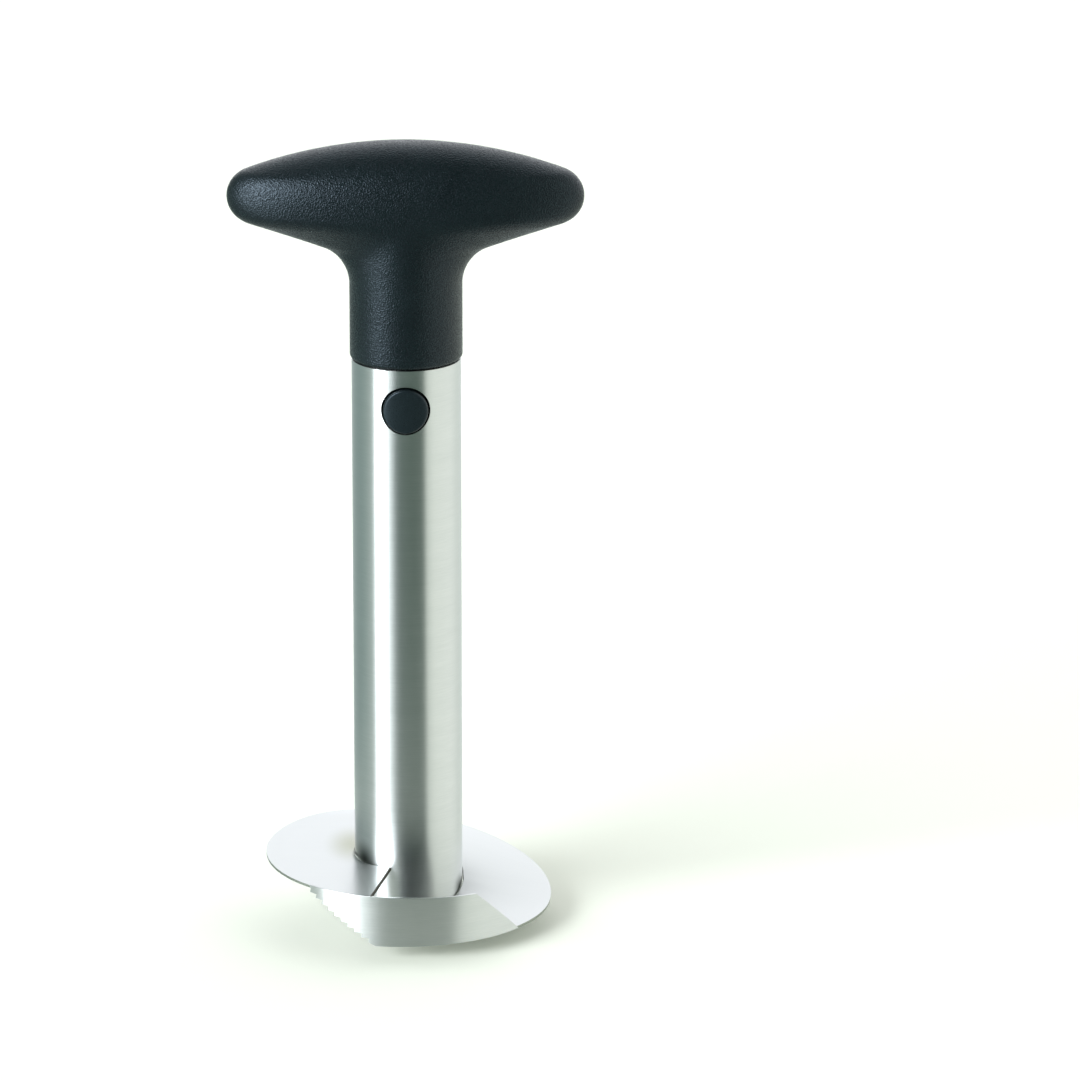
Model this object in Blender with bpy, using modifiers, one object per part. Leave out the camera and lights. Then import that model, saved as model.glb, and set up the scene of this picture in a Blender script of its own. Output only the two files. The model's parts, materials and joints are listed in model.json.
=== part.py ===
"""A pineapple slicer, standing on the toothed end of its core tube.

Metres, +Z up along the tube. -Y is the front, where the release button is, and +X is the right.
The origin is on the tube's axis, level with the tips of its teeth.
"""

import math

import bmesh
import bpy
from mathutils import Vector

# Clearances and allowances
FIT_GAP = 0.0003  # between two pieces that touch
CUT_OVERRUN = 0.004  # how far a cutter runs past what it cuts
MERGE_DISTANCE = 0.00001

# Core tube
TUBE_LENGTH = 0.1725
TUBE_OUTER_RADIUS = 0.016
TUBE_WALL = 0.001
TUBE_TEETH = 24
TUBE_TOOTH_DEPTH = 0.002
TUBE_TOOTH_STEPS = 4

# Spiral blade: one turn of sheet, nearly level above and below, with a ramp at the back.
# Its turns are counted clockwise from the slit, as seen from above.
BLADE_RADIUS = 0.0423
SHEET_THICKNESS = 0.0008
LEAD_LEVEL = 0.0054  # top face at the leading edge
LEAD_FALL = 0.0006  # how far the lower flat falls towards that edge
SLICE_PITCH = 0.0145  # top face at the slit above the leading edge's
CREST_RISE = 0.001  # how far the upper flat rises towards the ramp
RAMP_START = math.radians(115)
RAMP_END = math.radians(280)
RAMP_LAG = math.radians(48)  # how much later the ramp comes at the tube than at the rim
BLADE_SWEEP = math.radians(358.5)
SLIT_BEARING = math.radians(11.7)  # the slit's direction, from the front towards the left
SLIT_OFFSET = 0.0017  # its line passes this far from the tube's axis
EDGE_GRIND = 0.0035  # width of the ground face along the leading edge
EDGE_THICKNESS_SHARE = 0.25
RELIEF_DEPTH = 0.0008  # how far the sheet stands off the tube at the left
RELIEF_TURN = math.radians(47)
RELIEF_HALF_SWEEP = math.radians(30)
BLADE_STEPS = 96
BLADE_RINGS = 3

# Side cutter: the toothed wall along the rim, from the lower flat up to the upper one
CUTTER_TOP_LEFT = math.radians(-42.4)
CUTTER_TOP_RIGHT = math.radians(29)
CUTTER_LOW_RIGHT = math.radians(51)
CUTTER_TOP_FALL = 0.0005  # how far its free top edge falls towards the right
CUTTER_TEETH = 10
TOOTH_LEAN_SHARE = 0.12  # how far a tooth's front leans forward, of the tooth's length
TOOTH_UNDERSIDE_SHARE = 0.13  # how far its underside falls, of the tooth's height
CUTTER_BENDS = 28

# Weld beads under the blade, along the tube
WELD_LEG = 0.0013
WELD_SWEEP = math.radians(24)
WELD_TURNS = {
    "weld_bead_left": math.radians(25),
    "weld_bead_back": math.radians(95),
    "weld_bead_front": math.radians(338),
}
WELD_STEPS = 6

# Grip: a crossbar on a round neck, in two half shells that meet in the XZ plane
NECK_LIP = 0.0005  # the neck's radius past the tube's
NECK_EDGE_RADIUS = 0.0012
NECK_LENGTH = 0.0222  # its straight part
FLARE_RADIUS = 0.012
GRIP_LENGTH = 0.104
GRIP_HEIGHT = 0.0647  # from the neck's lower edge
GRIP_TIP_RADIUS = 0.0083
GRIP_TOP_ARC_RADIUS = 0.133
GRIP_SHOULDER = 0.0245  # below the top, where the bar's front and back begin to round off
GRIP_ROUND_POWER = 2.2
GRIP_WALL = 0.0026
GRIP_STEPS = 42
CAVITY_STEPS = 30
ARC_STEPS = 6
TOP_ARC_STEPS = 8

# Locating pins between the half shells
SIDE_PIN_SPREAD = 0.028  # from the middle of the bar
SIDE_PIN_DROP = 0.0165  # below the grip's top
TOP_PIN_DROP = 0.0105
PIN_RADIUS = 0.0015
PIN_REACH = 0.004
BOSS_RADIUS = 0.0032
PIN_STEPS = 16

# Latch plug: held in the grip's neck, and fills the top of the tube
PLUG_DEPTH = 0.03  # into the tube
PLUG_WALL = 0.0024
SPIGOT_RISE = 0.0175  # above the tube
SPIGOT_WALL = 0.0022
SPIGOT_END_WALL = 0.003
COLLAR_RISE = 0.0085  # above the tube
COLLAR_HEIGHT = 0.0035
COLLAR_WIDTH = 0.0012  # past the neck's bore
COLLAR_FLAT_SHARE = 0.93  # half width across the collar's two flats, of its radius
PLUG_STEPS = 48

# Release button, in a hole through the front of the tube
BUTTON_DROP = 0.012  # of its centre, below the tube's upper end
BUTTON_RADIUS = 0.0069
BUTTON_PROUD = 0.0012
BUTTON_TRAVEL = 0.0032
BUTTON_EDGE_RADIUS = 0.0009
BUTTON_FLANGE_WIDTH = 0.0017
BUTTON_FLANGE_THICKNESS = 0.0016
BUTTON_FACE_THICKNESS = 0.004
FACE_RING_SHARES = (0.5, 1.0)
BUTTON_STEPS = 40
BUTTON_EDGE_STEPS = 3

# Button spring
SPRING_RADIUS = 0.004  # outside
WIRE_RADIUS = 0.0004
SPRING_CURLS = 7
CURL_POINTS = 10

# Spring carrier: a cap below the plug, with an upright tongue and a post behind the button
SEAT_Y = 0.0012
TONGUE_THICKNESS = 0.0025
TONGUE_HALF_WIDTH = 0.0075
TONGUE_RISE = 0.0085  # above the button's centre
CAP_THICKNESS = 0.0027
SEAT_STEPS = 20

# Carrier screws
SCREW_RADIUS = 0.00145
SCREW_LENGTH = 0.0095
SCREW_HEAD_RADIUS = 0.0027
SCREW_HEAD_RIM = 0.0003
SCREW_HEAD_HEIGHT = 0.0016
SCREW_BEARING = math.radians(42)  # from the side towards the back
SCREW_BOSS_RADIUS = 0.0028
SCREW_BOSS_HEIGHT = 0.0105
RECESS_WIDTH = 0.0007
RECESS_LENGTH = 0.003
RECESS_DEPTH = 0.0008
SCREW_STEPS = 20

# Worked out from the sizes above
TUBE_BORE = TUBE_OUTER_RADIUS - TUBE_WALL
BLADE_HOLE_RADIUS = TUBE_OUTER_RADIUS + FIT_GAP
SLIT_LEVEL = LEAD_LEVEL + SLICE_PITCH
CUTTER_SHELF = SLIT_LEVEL - SHEET_THICKNESS - FIT_GAP
NECK_RADIUS = TUBE_OUTER_RADIUS + NECK_LIP
NECK_BORE = NECK_RADIUS - GRIP_WALL
NECK_BOTTOM = TUBE_LENGTH + FIT_GAP
FLARE_START = NECK_BOTTOM + NECK_LENGTH
GRIP_TOP = NECK_BOTTOM + GRIP_HEIGHT
PIN_PLACES = (
    (-SIDE_PIN_SPREAD, GRIP_TOP - SIDE_PIN_DROP),
    (0, GRIP_TOP - TOP_PIN_DROP),
    (SIDE_PIN_SPREAD, GRIP_TOP - SIDE_PIN_DROP),
)
PLUG_RADIUS = TUBE_BORE - FIT_GAP
PLUG_BORE = PLUG_RADIUS - PLUG_WALL
PLUG_BOTTOM = TUBE_LENGTH - PLUG_DEPTH
SPIGOT_RADIUS = NECK_BORE - FIT_GAP
SPIGOT_BORE = SPIGOT_RADIUS - SPIGOT_WALL
SPIGOT_TOP = TUBE_LENGTH + SPIGOT_RISE
COLLAR_RADIUS = NECK_BORE + COLLAR_WIDTH
COLLAR_BOTTOM = TUBE_LENGTH + COLLAR_RISE
BUTTON_HEIGHT = TUBE_LENGTH - BUTTON_DROP
BUTTON_FACE_RADIUS = TUBE_OUTER_RADIUS + BUTTON_PROUD
FLANGE_RADIUS = BUTTON_RADIUS + BUTTON_FLANGE_WIDTH
# The flange's two sides stop against the plug's round bore.
FLANGE_FRONT = FIT_GAP - math.sqrt(PLUG_BORE**2 - FLANGE_RADIUS**2)
FLANGE_BACK = FLANGE_FRONT + BUTTON_FLANGE_THICKNESS
POCKET_RADIUS = SPRING_RADIUS + FIT_GAP
POCKET_FLOOR = BUTTON_FACE_THICKNESS - BUTTON_FACE_RADIUS
POST_RADIUS = SPRING_RADIUS - 2 * WIRE_RADIUS - FIT_GAP
POST_TIP = POCKET_FLOOR + BUTTON_TRAVEL + FIT_GAP  # the post is the pressed button's stop
CAP_TOP = PLUG_BOTTOM - FIT_GAP
CAP_BOTTOM = CAP_TOP - CAP_THICKNESS
SCREW_CIRCLE = PLUG_RADIUS - PLUG_WALL / 2 - SCREW_BOSS_RADIUS
SCREW_PLACES = {
    name: (side * SCREW_CIRCLE * math.cos(SCREW_BEARING), SCREW_CIRCLE * math.sin(SCREW_BEARING))
    for name, side in (("left", -1), ("right", 1))
}


def clear_scene():
    for old in list(bpy.data.objects):
        bpy.data.objects.remove(old)


def new_collection(name, hidden=False):
    collection = bpy.data.collections.new(name)
    bpy.context.scene.collection.children.link(collection)
    collection.hide_render = hidden
    return collection


def new_material(name, colour, roughness, metallic=0.0):
    material = bpy.data.materials.new(name)
    material.use_nodes = True
    shader = material.node_tree.nodes["Principled BSDF"]
    shader.inputs["Base Color"].default_value = (*colour, 1.0)
    shader.inputs["Roughness"].default_value = roughness
    shader.inputs["Metallic"].default_value = metallic
    return material


def new_object(name, bm, collection, material=None):
    """Turns a bmesh into an object whose round faces are shaded smooth."""
    mesh = bpy.data.meshes.new(name)
    bm.to_mesh(mesh)
    bm.free()
    mesh.shade_smooth()
    mesh.set_sharp_from_angle(angle=math.radians(40))
    obj = bpy.data.objects.new(name, mesh)
    collection.objects.link(obj)
    if material:
        mesh.materials.append(material)
    return obj


def new_cutter(name, bm, collection):
    cutter = new_object(name, bm, collection)
    cutter.hide_render = True
    cutter.display_type = "WIRE"
    return cutter


def boolean(obj, operation, others):
    for other in others:
        modifier = obj.modifiers.new(other.name, "BOOLEAN")
        modifier.operation = operation
        modifier.solver = "EXACT"
        modifier.object = other


def cut(obj, *cutters):
    boolean(obj, "DIFFERENCE", cutters)


def join(obj, *pieces):
    boolean(obj, "UNION", pieces)


def close_up(bm):
    bmesh.ops.remove_doubles(bm, verts=bm.verts, dist=MERGE_DISTANCE)
    bmesh.ops.recalc_face_normals(bm, faces=bm.faces)
    return bm


def evaluated_bmesh(obj):
    """The bmesh of an object with its modifiers applied. The object itself is removed."""
    bpy.context.scene.collection.objects.link(obj)
    graph = bpy.context.evaluated_depsgraph_get()
    mesh = bpy.data.meshes.new_from_object(obj.evaluated_get(graph))
    bm = bmesh.new()
    bm.from_mesh(mesh)
    bpy.data.meshes.remove(mesh)
    bpy.data.objects.remove(obj)
    return close_up(bm)


def turned(profile, steps):
    """A solid turned about Z from (radius, height) points, from one end on the axis to the other."""
    outline = bpy.data.meshes.new("outline")
    points = [(radius, 0, height) for radius, height in profile]
    outline.from_pydata(points, [(i, i + 1) for i in range(len(points) - 1)], [])
    holder = bpy.data.objects.new("outline", outline)
    screw = holder.modifiers.new("turn", "SCREW")
    screw.steps = steps
    screw.render_steps = steps
    screw.use_merge_vertices = True
    screw.merge_threshold = MERGE_DISTANCE
    return evaluated_bmesh(holder)


def cylinder(radius, low, high, steps):
    """A cylinder about Z between two heights."""
    bm = bmesh.new()
    bmesh.ops.create_cone(bm, cap_ends=True, segments=steps, radius1=radius, radius2=radius, depth=high - low)
    return moved(bm, 0, 0, (low + high) / 2)


def block(low, high):
    """A box between two corners."""
    low, high = Vector(low), Vector(high)
    bm = bmesh.new()
    bmesh.ops.create_cube(bm, size=1.0)
    bmesh.ops.scale(bm, verts=bm.verts, vec=high - low)
    return moved(bm, *((low + high) / 2))


def moved(bm, x, y, z):
    bmesh.ops.translate(bm, verts=bm.verts, vec=(x, y, z))
    return bm


def laid_along_y(bm):
    """Tips a bmesh over, so that its heights become places along Y."""
    for vert in bm.verts:
        vert.co = (vert.co.x, vert.co.z, -vert.co.y)
    return bm


def rod(radius, low, high, steps, x=0.0, z=0.0):
    """A cylinder along Y between two places on that axis."""
    return moved(laid_along_y(cylinder(radius, low, high, steps)), x, 0, z)


def arc(centre, radius, start, end, steps):
    """Points on an arc in the XZ plane, with angles from +X towards +Z."""
    angles = [start + (end - start) * step / steps for step in range(steps + 1)]
    return [(centre[0] + radius * math.cos(angle), centre[1] + radius * math.sin(angle)) for angle in angles]


def around(bearing, radius, height):
    """The point at this bearing, which is counted from the front towards the right."""
    return Vector((radius * math.sin(bearing), -radius * math.cos(bearing), height))


def clamp(share):
    return min(max(share, 0.0), 1.0)


def smooth_step(share):
    share = clamp(share)
    return share * share * (3 - 2 * share)


def slit_bearing(radius):
    return -(SLIT_BEARING + math.asin(SLIT_OFFSET / radius))


def blade_hole_radius(turn):
    """The sheet's inner radius, with the relief that opens beside the tube at the left."""
    away = (turn - RELIEF_TURN) / RELIEF_HALF_SWEEP
    return BLADE_HOLE_RADIUS + RELIEF_DEPTH * clamp(1 - away * away) ** 2


def blade_top(turn, width_share=1.0):
    """Height of the blade's top face. The share is 0 at the tube and 1 at the rim."""
    crest = SLIT_LEVEL + CREST_RISE * smooth_step(turn / RAMP_START)
    foot = LEAD_LEVEL + LEAD_FALL * (1 - clamp((turn - RAMP_END) / (BLADE_SWEEP - RAMP_END)))
    lag = RAMP_LAG * (1 - width_share)
    return crest + (foot - crest) * smooth_step((turn - RAMP_START - lag) / (RAMP_END - RAMP_START))


def make_core_tube(parts, cutters, steel):
    """The tube that cores the fruit, with teeth below and the release button's hole above."""
    segments = TUBE_TEETH * TUBE_TOOTH_STEPS
    bm = bmesh.new()
    bmesh.ops.create_cone(
        bm, cap_ends=False, segments=segments, radius1=TUBE_OUTER_RADIUS, radius2=TUBE_OUTER_RADIUS,
        depth=TUBE_LENGTH,
    )
    moved(bm, 0, 0, TUBE_LENGTH / 2)
    for vert in bm.verts:
        step = round(math.atan2(vert.co.y, vert.co.x) / math.tau * segments) % TUBE_TOOTH_STEPS
        if vert.co.z < TUBE_LENGTH / 2 and step >= TUBE_TOOTH_STEPS / 2:
            vert.co.z = TUBE_TOOTH_DEPTH
    tube = new_object("core_tube", bm, parts, steel)
    wall = tube.modifiers.new("wall", "SOLIDIFY")
    wall.thickness = TUBE_WALL
    wall.offset = -1
    hole = rod(BUTTON_RADIUS + FIT_GAP, -TUBE_OUTER_RADIUS - CUT_OVERRUN, 0, BUTTON_STEPS, z=BUTTON_HEIGHT)
    cut(tube, new_cutter("button_hole", hole, cutters))


def make_spiral_blade(parts, steel):
    """One turn of sheet, from the slit's upper edge down to the ground leading edge below it."""
    bm = bmesh.new()
    bmesh.ops.create_grid(bm, x_segments=BLADE_STEPS, y_segments=BLADE_RINGS, size=1.0)
    bm.verts.index_update()
    grind_sweep = EDGE_GRIND / BLADE_RADIUS
    shares = []
    for vert in bm.verts:
        step = round((vert.co.x + 1) / 2 * BLADE_STEPS)
        turn = BLADE_SWEEP - grind_sweep if step == BLADE_STEPS - 1 else BLADE_SWEEP * step / BLADE_STEPS
        width_share = (vert.co.y + 1) / 2
        hole = blade_hole_radius(turn)
        radius = hole + (BLADE_RADIUS - hole) * width_share
        vert.co = around(slit_bearing(radius) - turn, radius, blade_top(turn, width_share) - SHEET_THICKNESS)
        shares.append(EDGE_THICKNESS_SHARE if step == BLADE_STEPS else 1.0)
    blade = new_object("spiral_blade", bm, parts, steel)
    sheet_group = blade.vertex_groups.new(name="sheet")
    for index, share in enumerate(shares):
        sheet_group.add([index], share, "REPLACE")
    sheet = blade.modifiers.new("sheet", "SOLIDIFY")
    sheet.thickness = SHEET_THICKNESS
    sheet.offset = 1
    sheet.vertex_group = sheet_group.name


def cutter_outline():
    """The side cutter laid flat, as (bearing, height) points: teeth, foot, rear end and top."""
    slit = slit_bearing(BLADE_RADIUS)
    lead = slit + math.tau - BLADE_SWEEP

    def foot(bearing):
        return blade_top(math.tau + slit - bearing) + FIT_GAP

    run = (lead - CUTTER_TOP_LEFT) / CUTTER_TEETH
    fall = (CUTTER_SHELF - foot(lead)) / CUTTER_TEETH
    points = []
    for tooth in range(CUTTER_TEETH):
        bearing, height = CUTTER_TOP_LEFT + run * tooth, CUTTER_SHELF - fall * tooth
        points.append((bearing + run * TOOTH_LEAN_SHARE, height))
        points.append((bearing, height - fall * (1 - TOOTH_UNDERSIDE_SHARE)))
    bends = [lead + (CUTTER_LOW_RIGHT - lead) * bend / CUTTER_BENDS for bend in range(CUTTER_BENDS + 1)]
    points += [(bearing, foot(bearing)) for bearing in bends]
    beside_slit = slit + FIT_GAP / BLADE_RADIUS
    points.append((CUTTER_TOP_RIGHT, SLIT_LEVEL - CUTTER_TOP_FALL))
    points.append((beside_slit, SLIT_LEVEL))
    points.append((beside_slit, CUTTER_SHELF))
    return points


def make_side_cutter(parts, steel):
    """A curved strip, flush with the blade's rim, whose stepped edge cuts round each slice."""
    middle_radius = BLADE_RADIUS - SHEET_THICKNESS / 2
    flat = bpy.data.curves.new("side_cutter_flat", "CURVE")
    flat.dimensions = "2D"
    flat.fill_mode = "BOTH"
    flat.extrude = SHEET_THICKNESS / 2
    outline = cutter_outline()
    spline = flat.splines.new("POLY")
    spline.points.add(len(outline) - 1)
    spline.use_cyclic_u = True
    for point, (bearing, height) in zip(spline.points, outline):
        point.co = (bearing * middle_radius, height, 0, 1)
    bm = evaluated_bmesh(bpy.data.objects.new("side_cutter_flat", flat))
    reach = CUTTER_LOW_RIGHT - CUTTER_TOP_LEFT
    for bend in range(1, CUTTER_BENDS):
        place = (CUTTER_TOP_LEFT + reach * bend / CUTTER_BENDS) * middle_radius
        everything = list(bm.verts) + list(bm.edges) + list(bm.faces)
        bmesh.ops.bisect_plane(
            bm, geom=everything, dist=MERGE_DISTANCE, plane_co=(place, 0, 0), plane_no=(1, 0, 0)
        )
    for vert in bm.verts:
        vert.co = around(vert.co.x / middle_radius, middle_radius + vert.co.z, vert.co.y)
    new_object("side_cutter", close_up(bm), parts, steel)


def make_weld_bead(name, turn, parts, steel):
    """A short fillet weld under the blade that holds it to the tube."""
    inner = BLADE_HOLE_RADIUS
    ends = (turn - WELD_SWEEP / 2, turn + WELD_SWEEP / 2)
    top = min(blade_top(end, 0.0) for end in ends) - SHEET_THICKNESS - FIT_GAP
    bm = bmesh.new()
    start = slit_bearing(inner) - ends[0]
    corners = ((inner, top), (inner, top - WELD_LEG), (inner + WELD_LEG, top))
    section = bm.faces.new([bm.verts.new(around(start, radius, height)) for radius, height in corners])
    bmesh.ops.spin(
        bm, geom=[section, *section.edges, *section.verts], cent=(0, 0, 0), axis=(0, 0, 1), angle=-WELD_SWEEP,
        steps=WELD_STEPS,
    )
    new_object(name, close_up(bm), parts, steel)


def grip_outline(inset):
    """Half of the grip's front outline above the neck, moved in by an inset, as (half length, height)."""
    flare_x, flare_z = NECK_RADIUS + FLARE_RADIUS, FLARE_START
    top_z = GRIP_TOP - GRIP_TOP_ARC_RADIUS
    tip_x = GRIP_LENGTH / 2 - GRIP_TIP_RADIUS
    tip_z = top_z + math.sqrt((GRIP_TOP_ARC_RADIUS - GRIP_TIP_RADIUS) ** 2 - tip_x**2)
    # The underside is the line that touches both the flare's arc and the tip's.
    distance = math.hypot(tip_x - flare_x, tip_z - flare_z)
    slope = math.acos((FLARE_RADIUS + GRIP_TIP_RADIUS) / distance)
    underside = math.pi / 2 + slope - math.atan2(tip_x - flare_x, tip_z - flare_z)
    shoulder = math.atan2(tip_z - top_z, tip_x)
    flare = arc((flare_x, flare_z), FLARE_RADIUS + inset, math.pi, underside, ARC_STEPS)
    tip = arc((tip_x, tip_z), GRIP_TIP_RADIUS - inset, underside - math.pi, shoulder, 2 * ARC_STEPS)
    top = arc((0, top_z), GRIP_TOP_ARC_RADIUS - inset, shoulder, math.pi / 2, TOP_ARC_STEPS)
    return flare + tip + top[1:-1] + [(0, GRIP_TOP - inset)]


def half_depth(height, inset):
    """Half of the grip's depth at this height: the neck's radius, rounded off towards the top."""
    shoulder = GRIP_TOP - GRIP_SHOULDER
    share = clamp((height - shoulder) / (GRIP_SHOULDER - inset))
    return (NECK_RADIUS - inset) * (1 - share**GRIP_ROUND_POWER) ** (1 / GRIP_ROUND_POWER)


def narrowed(bm, inset):
    """Narrows a turned grip to its depth, which leaves the neck round and the bar long."""
    for vert in bm.verts:
        radius = math.hypot(vert.co.x, vert.co.y)
        depth = half_depth(vert.co.z, inset)
        if radius > depth:
            vert.co.y *= depth / radius
    bmesh.ops.triangulate(bm, faces=bm.faces)
    return bm


def grip_body():
    """The outside of the whole grip."""
    edge_centre = (NECK_RADIUS - NECK_EDGE_RADIUS, NECK_BOTTOM + NECK_EDGE_RADIUS)
    edge = arc(edge_centre, NECK_EDGE_RADIUS, -math.pi / 2, 0, ARC_STEPS // 2)
    return narrowed(turned([(0, NECK_BOTTOM), *edge, *grip_outline(0)], GRIP_STEPS), 0)


def make_grip_cavity(cutters):
    """The hollow of both half shells, less the solid bosses that stand in it."""
    mouth = NECK_BOTTOM - CUT_OVERRUN
    bm = narrowed(turned([(0, mouth), (NECK_BORE, mouth), *grip_outline(GRIP_WALL)], CAVITY_STEPS), GRIP_WALL)
    cavity = new_cutter("grip_cavity", bm, cutters)
    reach = NECK_RADIUS + CUT_OVERRUN
    for number, (x, height) in enumerate(PIN_PLACES):
        boss = rod(BOSS_RADIUS, -reach, reach, PIN_STEPS, x, height)
        cut(cavity, new_cutter(f"boss_{number}", boss, cutters))
    return cavity


def collar_disc(clearance):
    """The plug's collar, round with two flats, or with a clearance the groove that it sits in."""
    low, high = COLLAR_BOTTOM - clearance, COLLAR_BOTTOM + COLLAR_HEIGHT + clearance
    bm = cylinder(COLLAR_RADIUS + clearance, low, high, PLUG_STEPS)
    flat = COLLAR_RADIUS * COLLAR_FLAT_SHARE + clearance
    for vert in bm.verts:
        vert.co.x = min(max(vert.co.x, -flat), flat)
    return bm


def make_grip_shell(name, side, shared_cutters, parts, cutters, plastic):
    """One half shell of the grip. Its side is -1 at the front and 1 at the rear."""
    shell = new_object(name, grip_body(), parts, plastic)
    cut(shell, *shared_cutters)
    seam, far = side * FIT_GAP / 2, -side * (NECK_RADIUS + CUT_OVERRUN)
    reach = GRIP_LENGTH / 2 + CUT_OVERRUN
    other_half = block(
        (-reach, min(seam, far), NECK_BOTTOM - CUT_OVERRUN), (reach, max(seam, far), GRIP_TOP + CUT_OVERRUN)
    )
    cut(shell, new_cutter(f"{name}_other_half", other_half, cutters))
    for number, (x, height) in enumerate(PIN_PLACES):
        if side > 0:
            pin = rod(PIN_RADIUS, -PIN_REACH, PIN_REACH, PIN_STEPS, x, height)
            join(shell, new_cutter(f"pin_{number}", pin, cutters))
        else:
            socket = rod(PIN_RADIUS + FIT_GAP, -PIN_REACH - FIT_GAP, PIN_REACH, PIN_STEPS, x, height)
            cut(shell, new_cutter(f"pin_socket_{number}", socket, cutters))


def make_latch_plug(parts, cutters, plastic):
    """The hollow plug, with a spigot and collar in the grip's neck and a body that fills the tube."""
    outside = [
        (0, PLUG_BOTTOM), (PLUG_RADIUS, PLUG_BOTTOM), (PLUG_RADIUS, TUBE_LENGTH),
        (SPIGOT_RADIUS, TUBE_LENGTH), (SPIGOT_RADIUS, SPIGOT_TOP), (0, SPIGOT_TOP),
    ]
    mouth, step, end = PLUG_BOTTOM - CUT_OVERRUN, TUBE_LENGTH - PLUG_WALL, SPIGOT_TOP - SPIGOT_END_WALL
    inside = [
        (0, mouth), (PLUG_BORE, mouth), (PLUG_BORE, step), (SPIGOT_BORE, step), (SPIGOT_BORE, end),
        (0, end),
    ]
    plug = new_object("latch_plug", turned(outside, PLUG_STEPS), parts, plastic)
    join(plug, new_cutter("plug_collar", collar_disc(0), cutters))
    cut(plug, new_cutter("plug_bore", turned(inside, PLUG_STEPS), cutters))
    for name, (x, y) in SCREW_PLACES.items():
        boss = cylinder(SCREW_BOSS_RADIUS, PLUG_BOTTOM, PLUG_BOTTOM + SCREW_BOSS_HEIGHT, SCREW_STEPS)
        hole = cylinder(SCREW_RADIUS + FIT_GAP, mouth, CAP_BOTTOM + SCREW_LENGTH + FIT_GAP, SCREW_STEPS)
        join(plug, new_cutter(f"screw_boss_{name}", moved(boss, x, y, 0), cutters))
        cut(plug, new_cutter(f"screw_hole_{name}", moved(hole, x, y, 0), cutters))
    guide = rod(BUTTON_RADIUS + FIT_GAP, -PLUG_RADIUS - CUT_OVERRUN, 0, BUTTON_STEPS, z=BUTTON_HEIGHT)
    cut(plug, new_cutter("button_guide", guide, cutters))


def make_release_button(parts, plastic):
    """The button: a face curved like the tube, a flange that stops it, and a pocket for its spring."""
    front = -BUTTON_FACE_RADIUS
    flat_radius = BUTTON_RADIUS - BUTTON_EDGE_RADIUS
    face = [(0, front)] + [(flat_radius * share, front) for share in FACE_RING_SHARES]
    edge_centre = (flat_radius, front + BUTTON_EDGE_RADIUS)
    edge = arc(edge_centre, BUTTON_EDGE_RADIUS, -math.pi / 2, 0, BUTTON_EDGE_STEPS)
    rest = [
        (BUTTON_RADIUS, FLANGE_FRONT), (FLANGE_RADIUS, FLANGE_FRONT), (FLANGE_RADIUS, FLANGE_BACK),
        (POCKET_RADIUS, FLANGE_BACK), (POCKET_RADIUS, POCKET_FLOOR), (0, POCKET_FLOOR),
    ]
    bm = laid_along_y(turned(face + edge[1:] + rest, BUTTON_STEPS))
    for vert in bm.verts:
        if vert.co.y < front + BUTTON_EDGE_RADIUS + MERGE_DISTANCE:
            vert.co.y += BUTTON_FACE_RADIUS - math.sqrt(BUTTON_FACE_RADIUS**2 - vert.co.x**2)
    button = new_object("release_button", bm, parts, plastic)
    button.location.z = BUTTON_HEIGHT


def spring_points():
    """The middle of the spring's wire, from the button's pocket to the carrier's tongue."""
    start, end = POCKET_FLOOR + FIT_GAP + WIRE_RADIUS, SEAT_Y - FIT_GAP - WIRE_RADIUS
    radius = SPRING_RADIUS - WIRE_RADIUS
    count = SPRING_CURLS * CURL_POINTS
    angles = [math.tau * number / CURL_POINTS for number in range(count + 1)]
    return [
        Vector((radius * math.cos(angle), start + (end - start) * number / count, radius * math.sin(angle)))
        for number, angle in enumerate(angles)
    ]


def make_button_spring(parts, steel):
    """The compression spring that keeps the button out."""
    points = spring_points()
    far_enough = CURL_POINTS // 2
    nearest = min((a - b).length for i, a in enumerate(points) for b in points[i + far_enough:])
    print(f"button_spring: least gap to itself {(nearest - 2 * WIRE_RADIUS) * 1000:.2f} mm")
    wire = bpy.data.curves.new("button_spring", "CURVE")
    wire.dimensions = "3D"
    wire.bevel_depth = WIRE_RADIUS
    wire.bevel_resolution = 1
    wire.use_fill_caps = True
    spline = wire.splines.new("POLY")
    spline.points.add(len(points) - 1)
    for point, place in zip(spline.points, points):
        point.co = (*place, 1)
    wire.materials.append(steel)
    spring = bpy.data.objects.new("button_spring", wire)
    parts.objects.link(spring)
    spring.location.z = BUTTON_HEIGHT


def make_spring_carrier(parts, cutters, plastic):
    """The cap that closes the plug, with the tongue that the spring pushes on and the button's stop."""
    cap = cylinder(PLUG_RADIUS, CAP_BOTTOM, CAP_TOP, PLUG_STEPS)
    carrier = new_object("spring_carrier", cap, parts, plastic)
    tongue = block(
        (-TONGUE_HALF_WIDTH, SEAT_Y, CAP_TOP - CAP_THICKNESS / 2),
        (TONGUE_HALF_WIDTH, SEAT_Y + TONGUE_THICKNESS, BUTTON_HEIGHT + TONGUE_RISE),
    )
    post = rod(POST_RADIUS, POST_TIP, SEAT_Y + TONGUE_THICKNESS / 2, SEAT_STEPS, z=BUTTON_HEIGHT)
    join(carrier, new_cutter("carrier_tongue", tongue, cutters), new_cutter("carrier_post", post, cutters))
    for name, (x, y) in SCREW_PLACES.items():
        sink = turned(screw_profile(FIT_GAP, CUT_OVERRUN), SCREW_STEPS)
        cut(carrier, new_cutter(f"screw_sink_{name}", moved(sink, x, y, 0), cutters))


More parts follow.
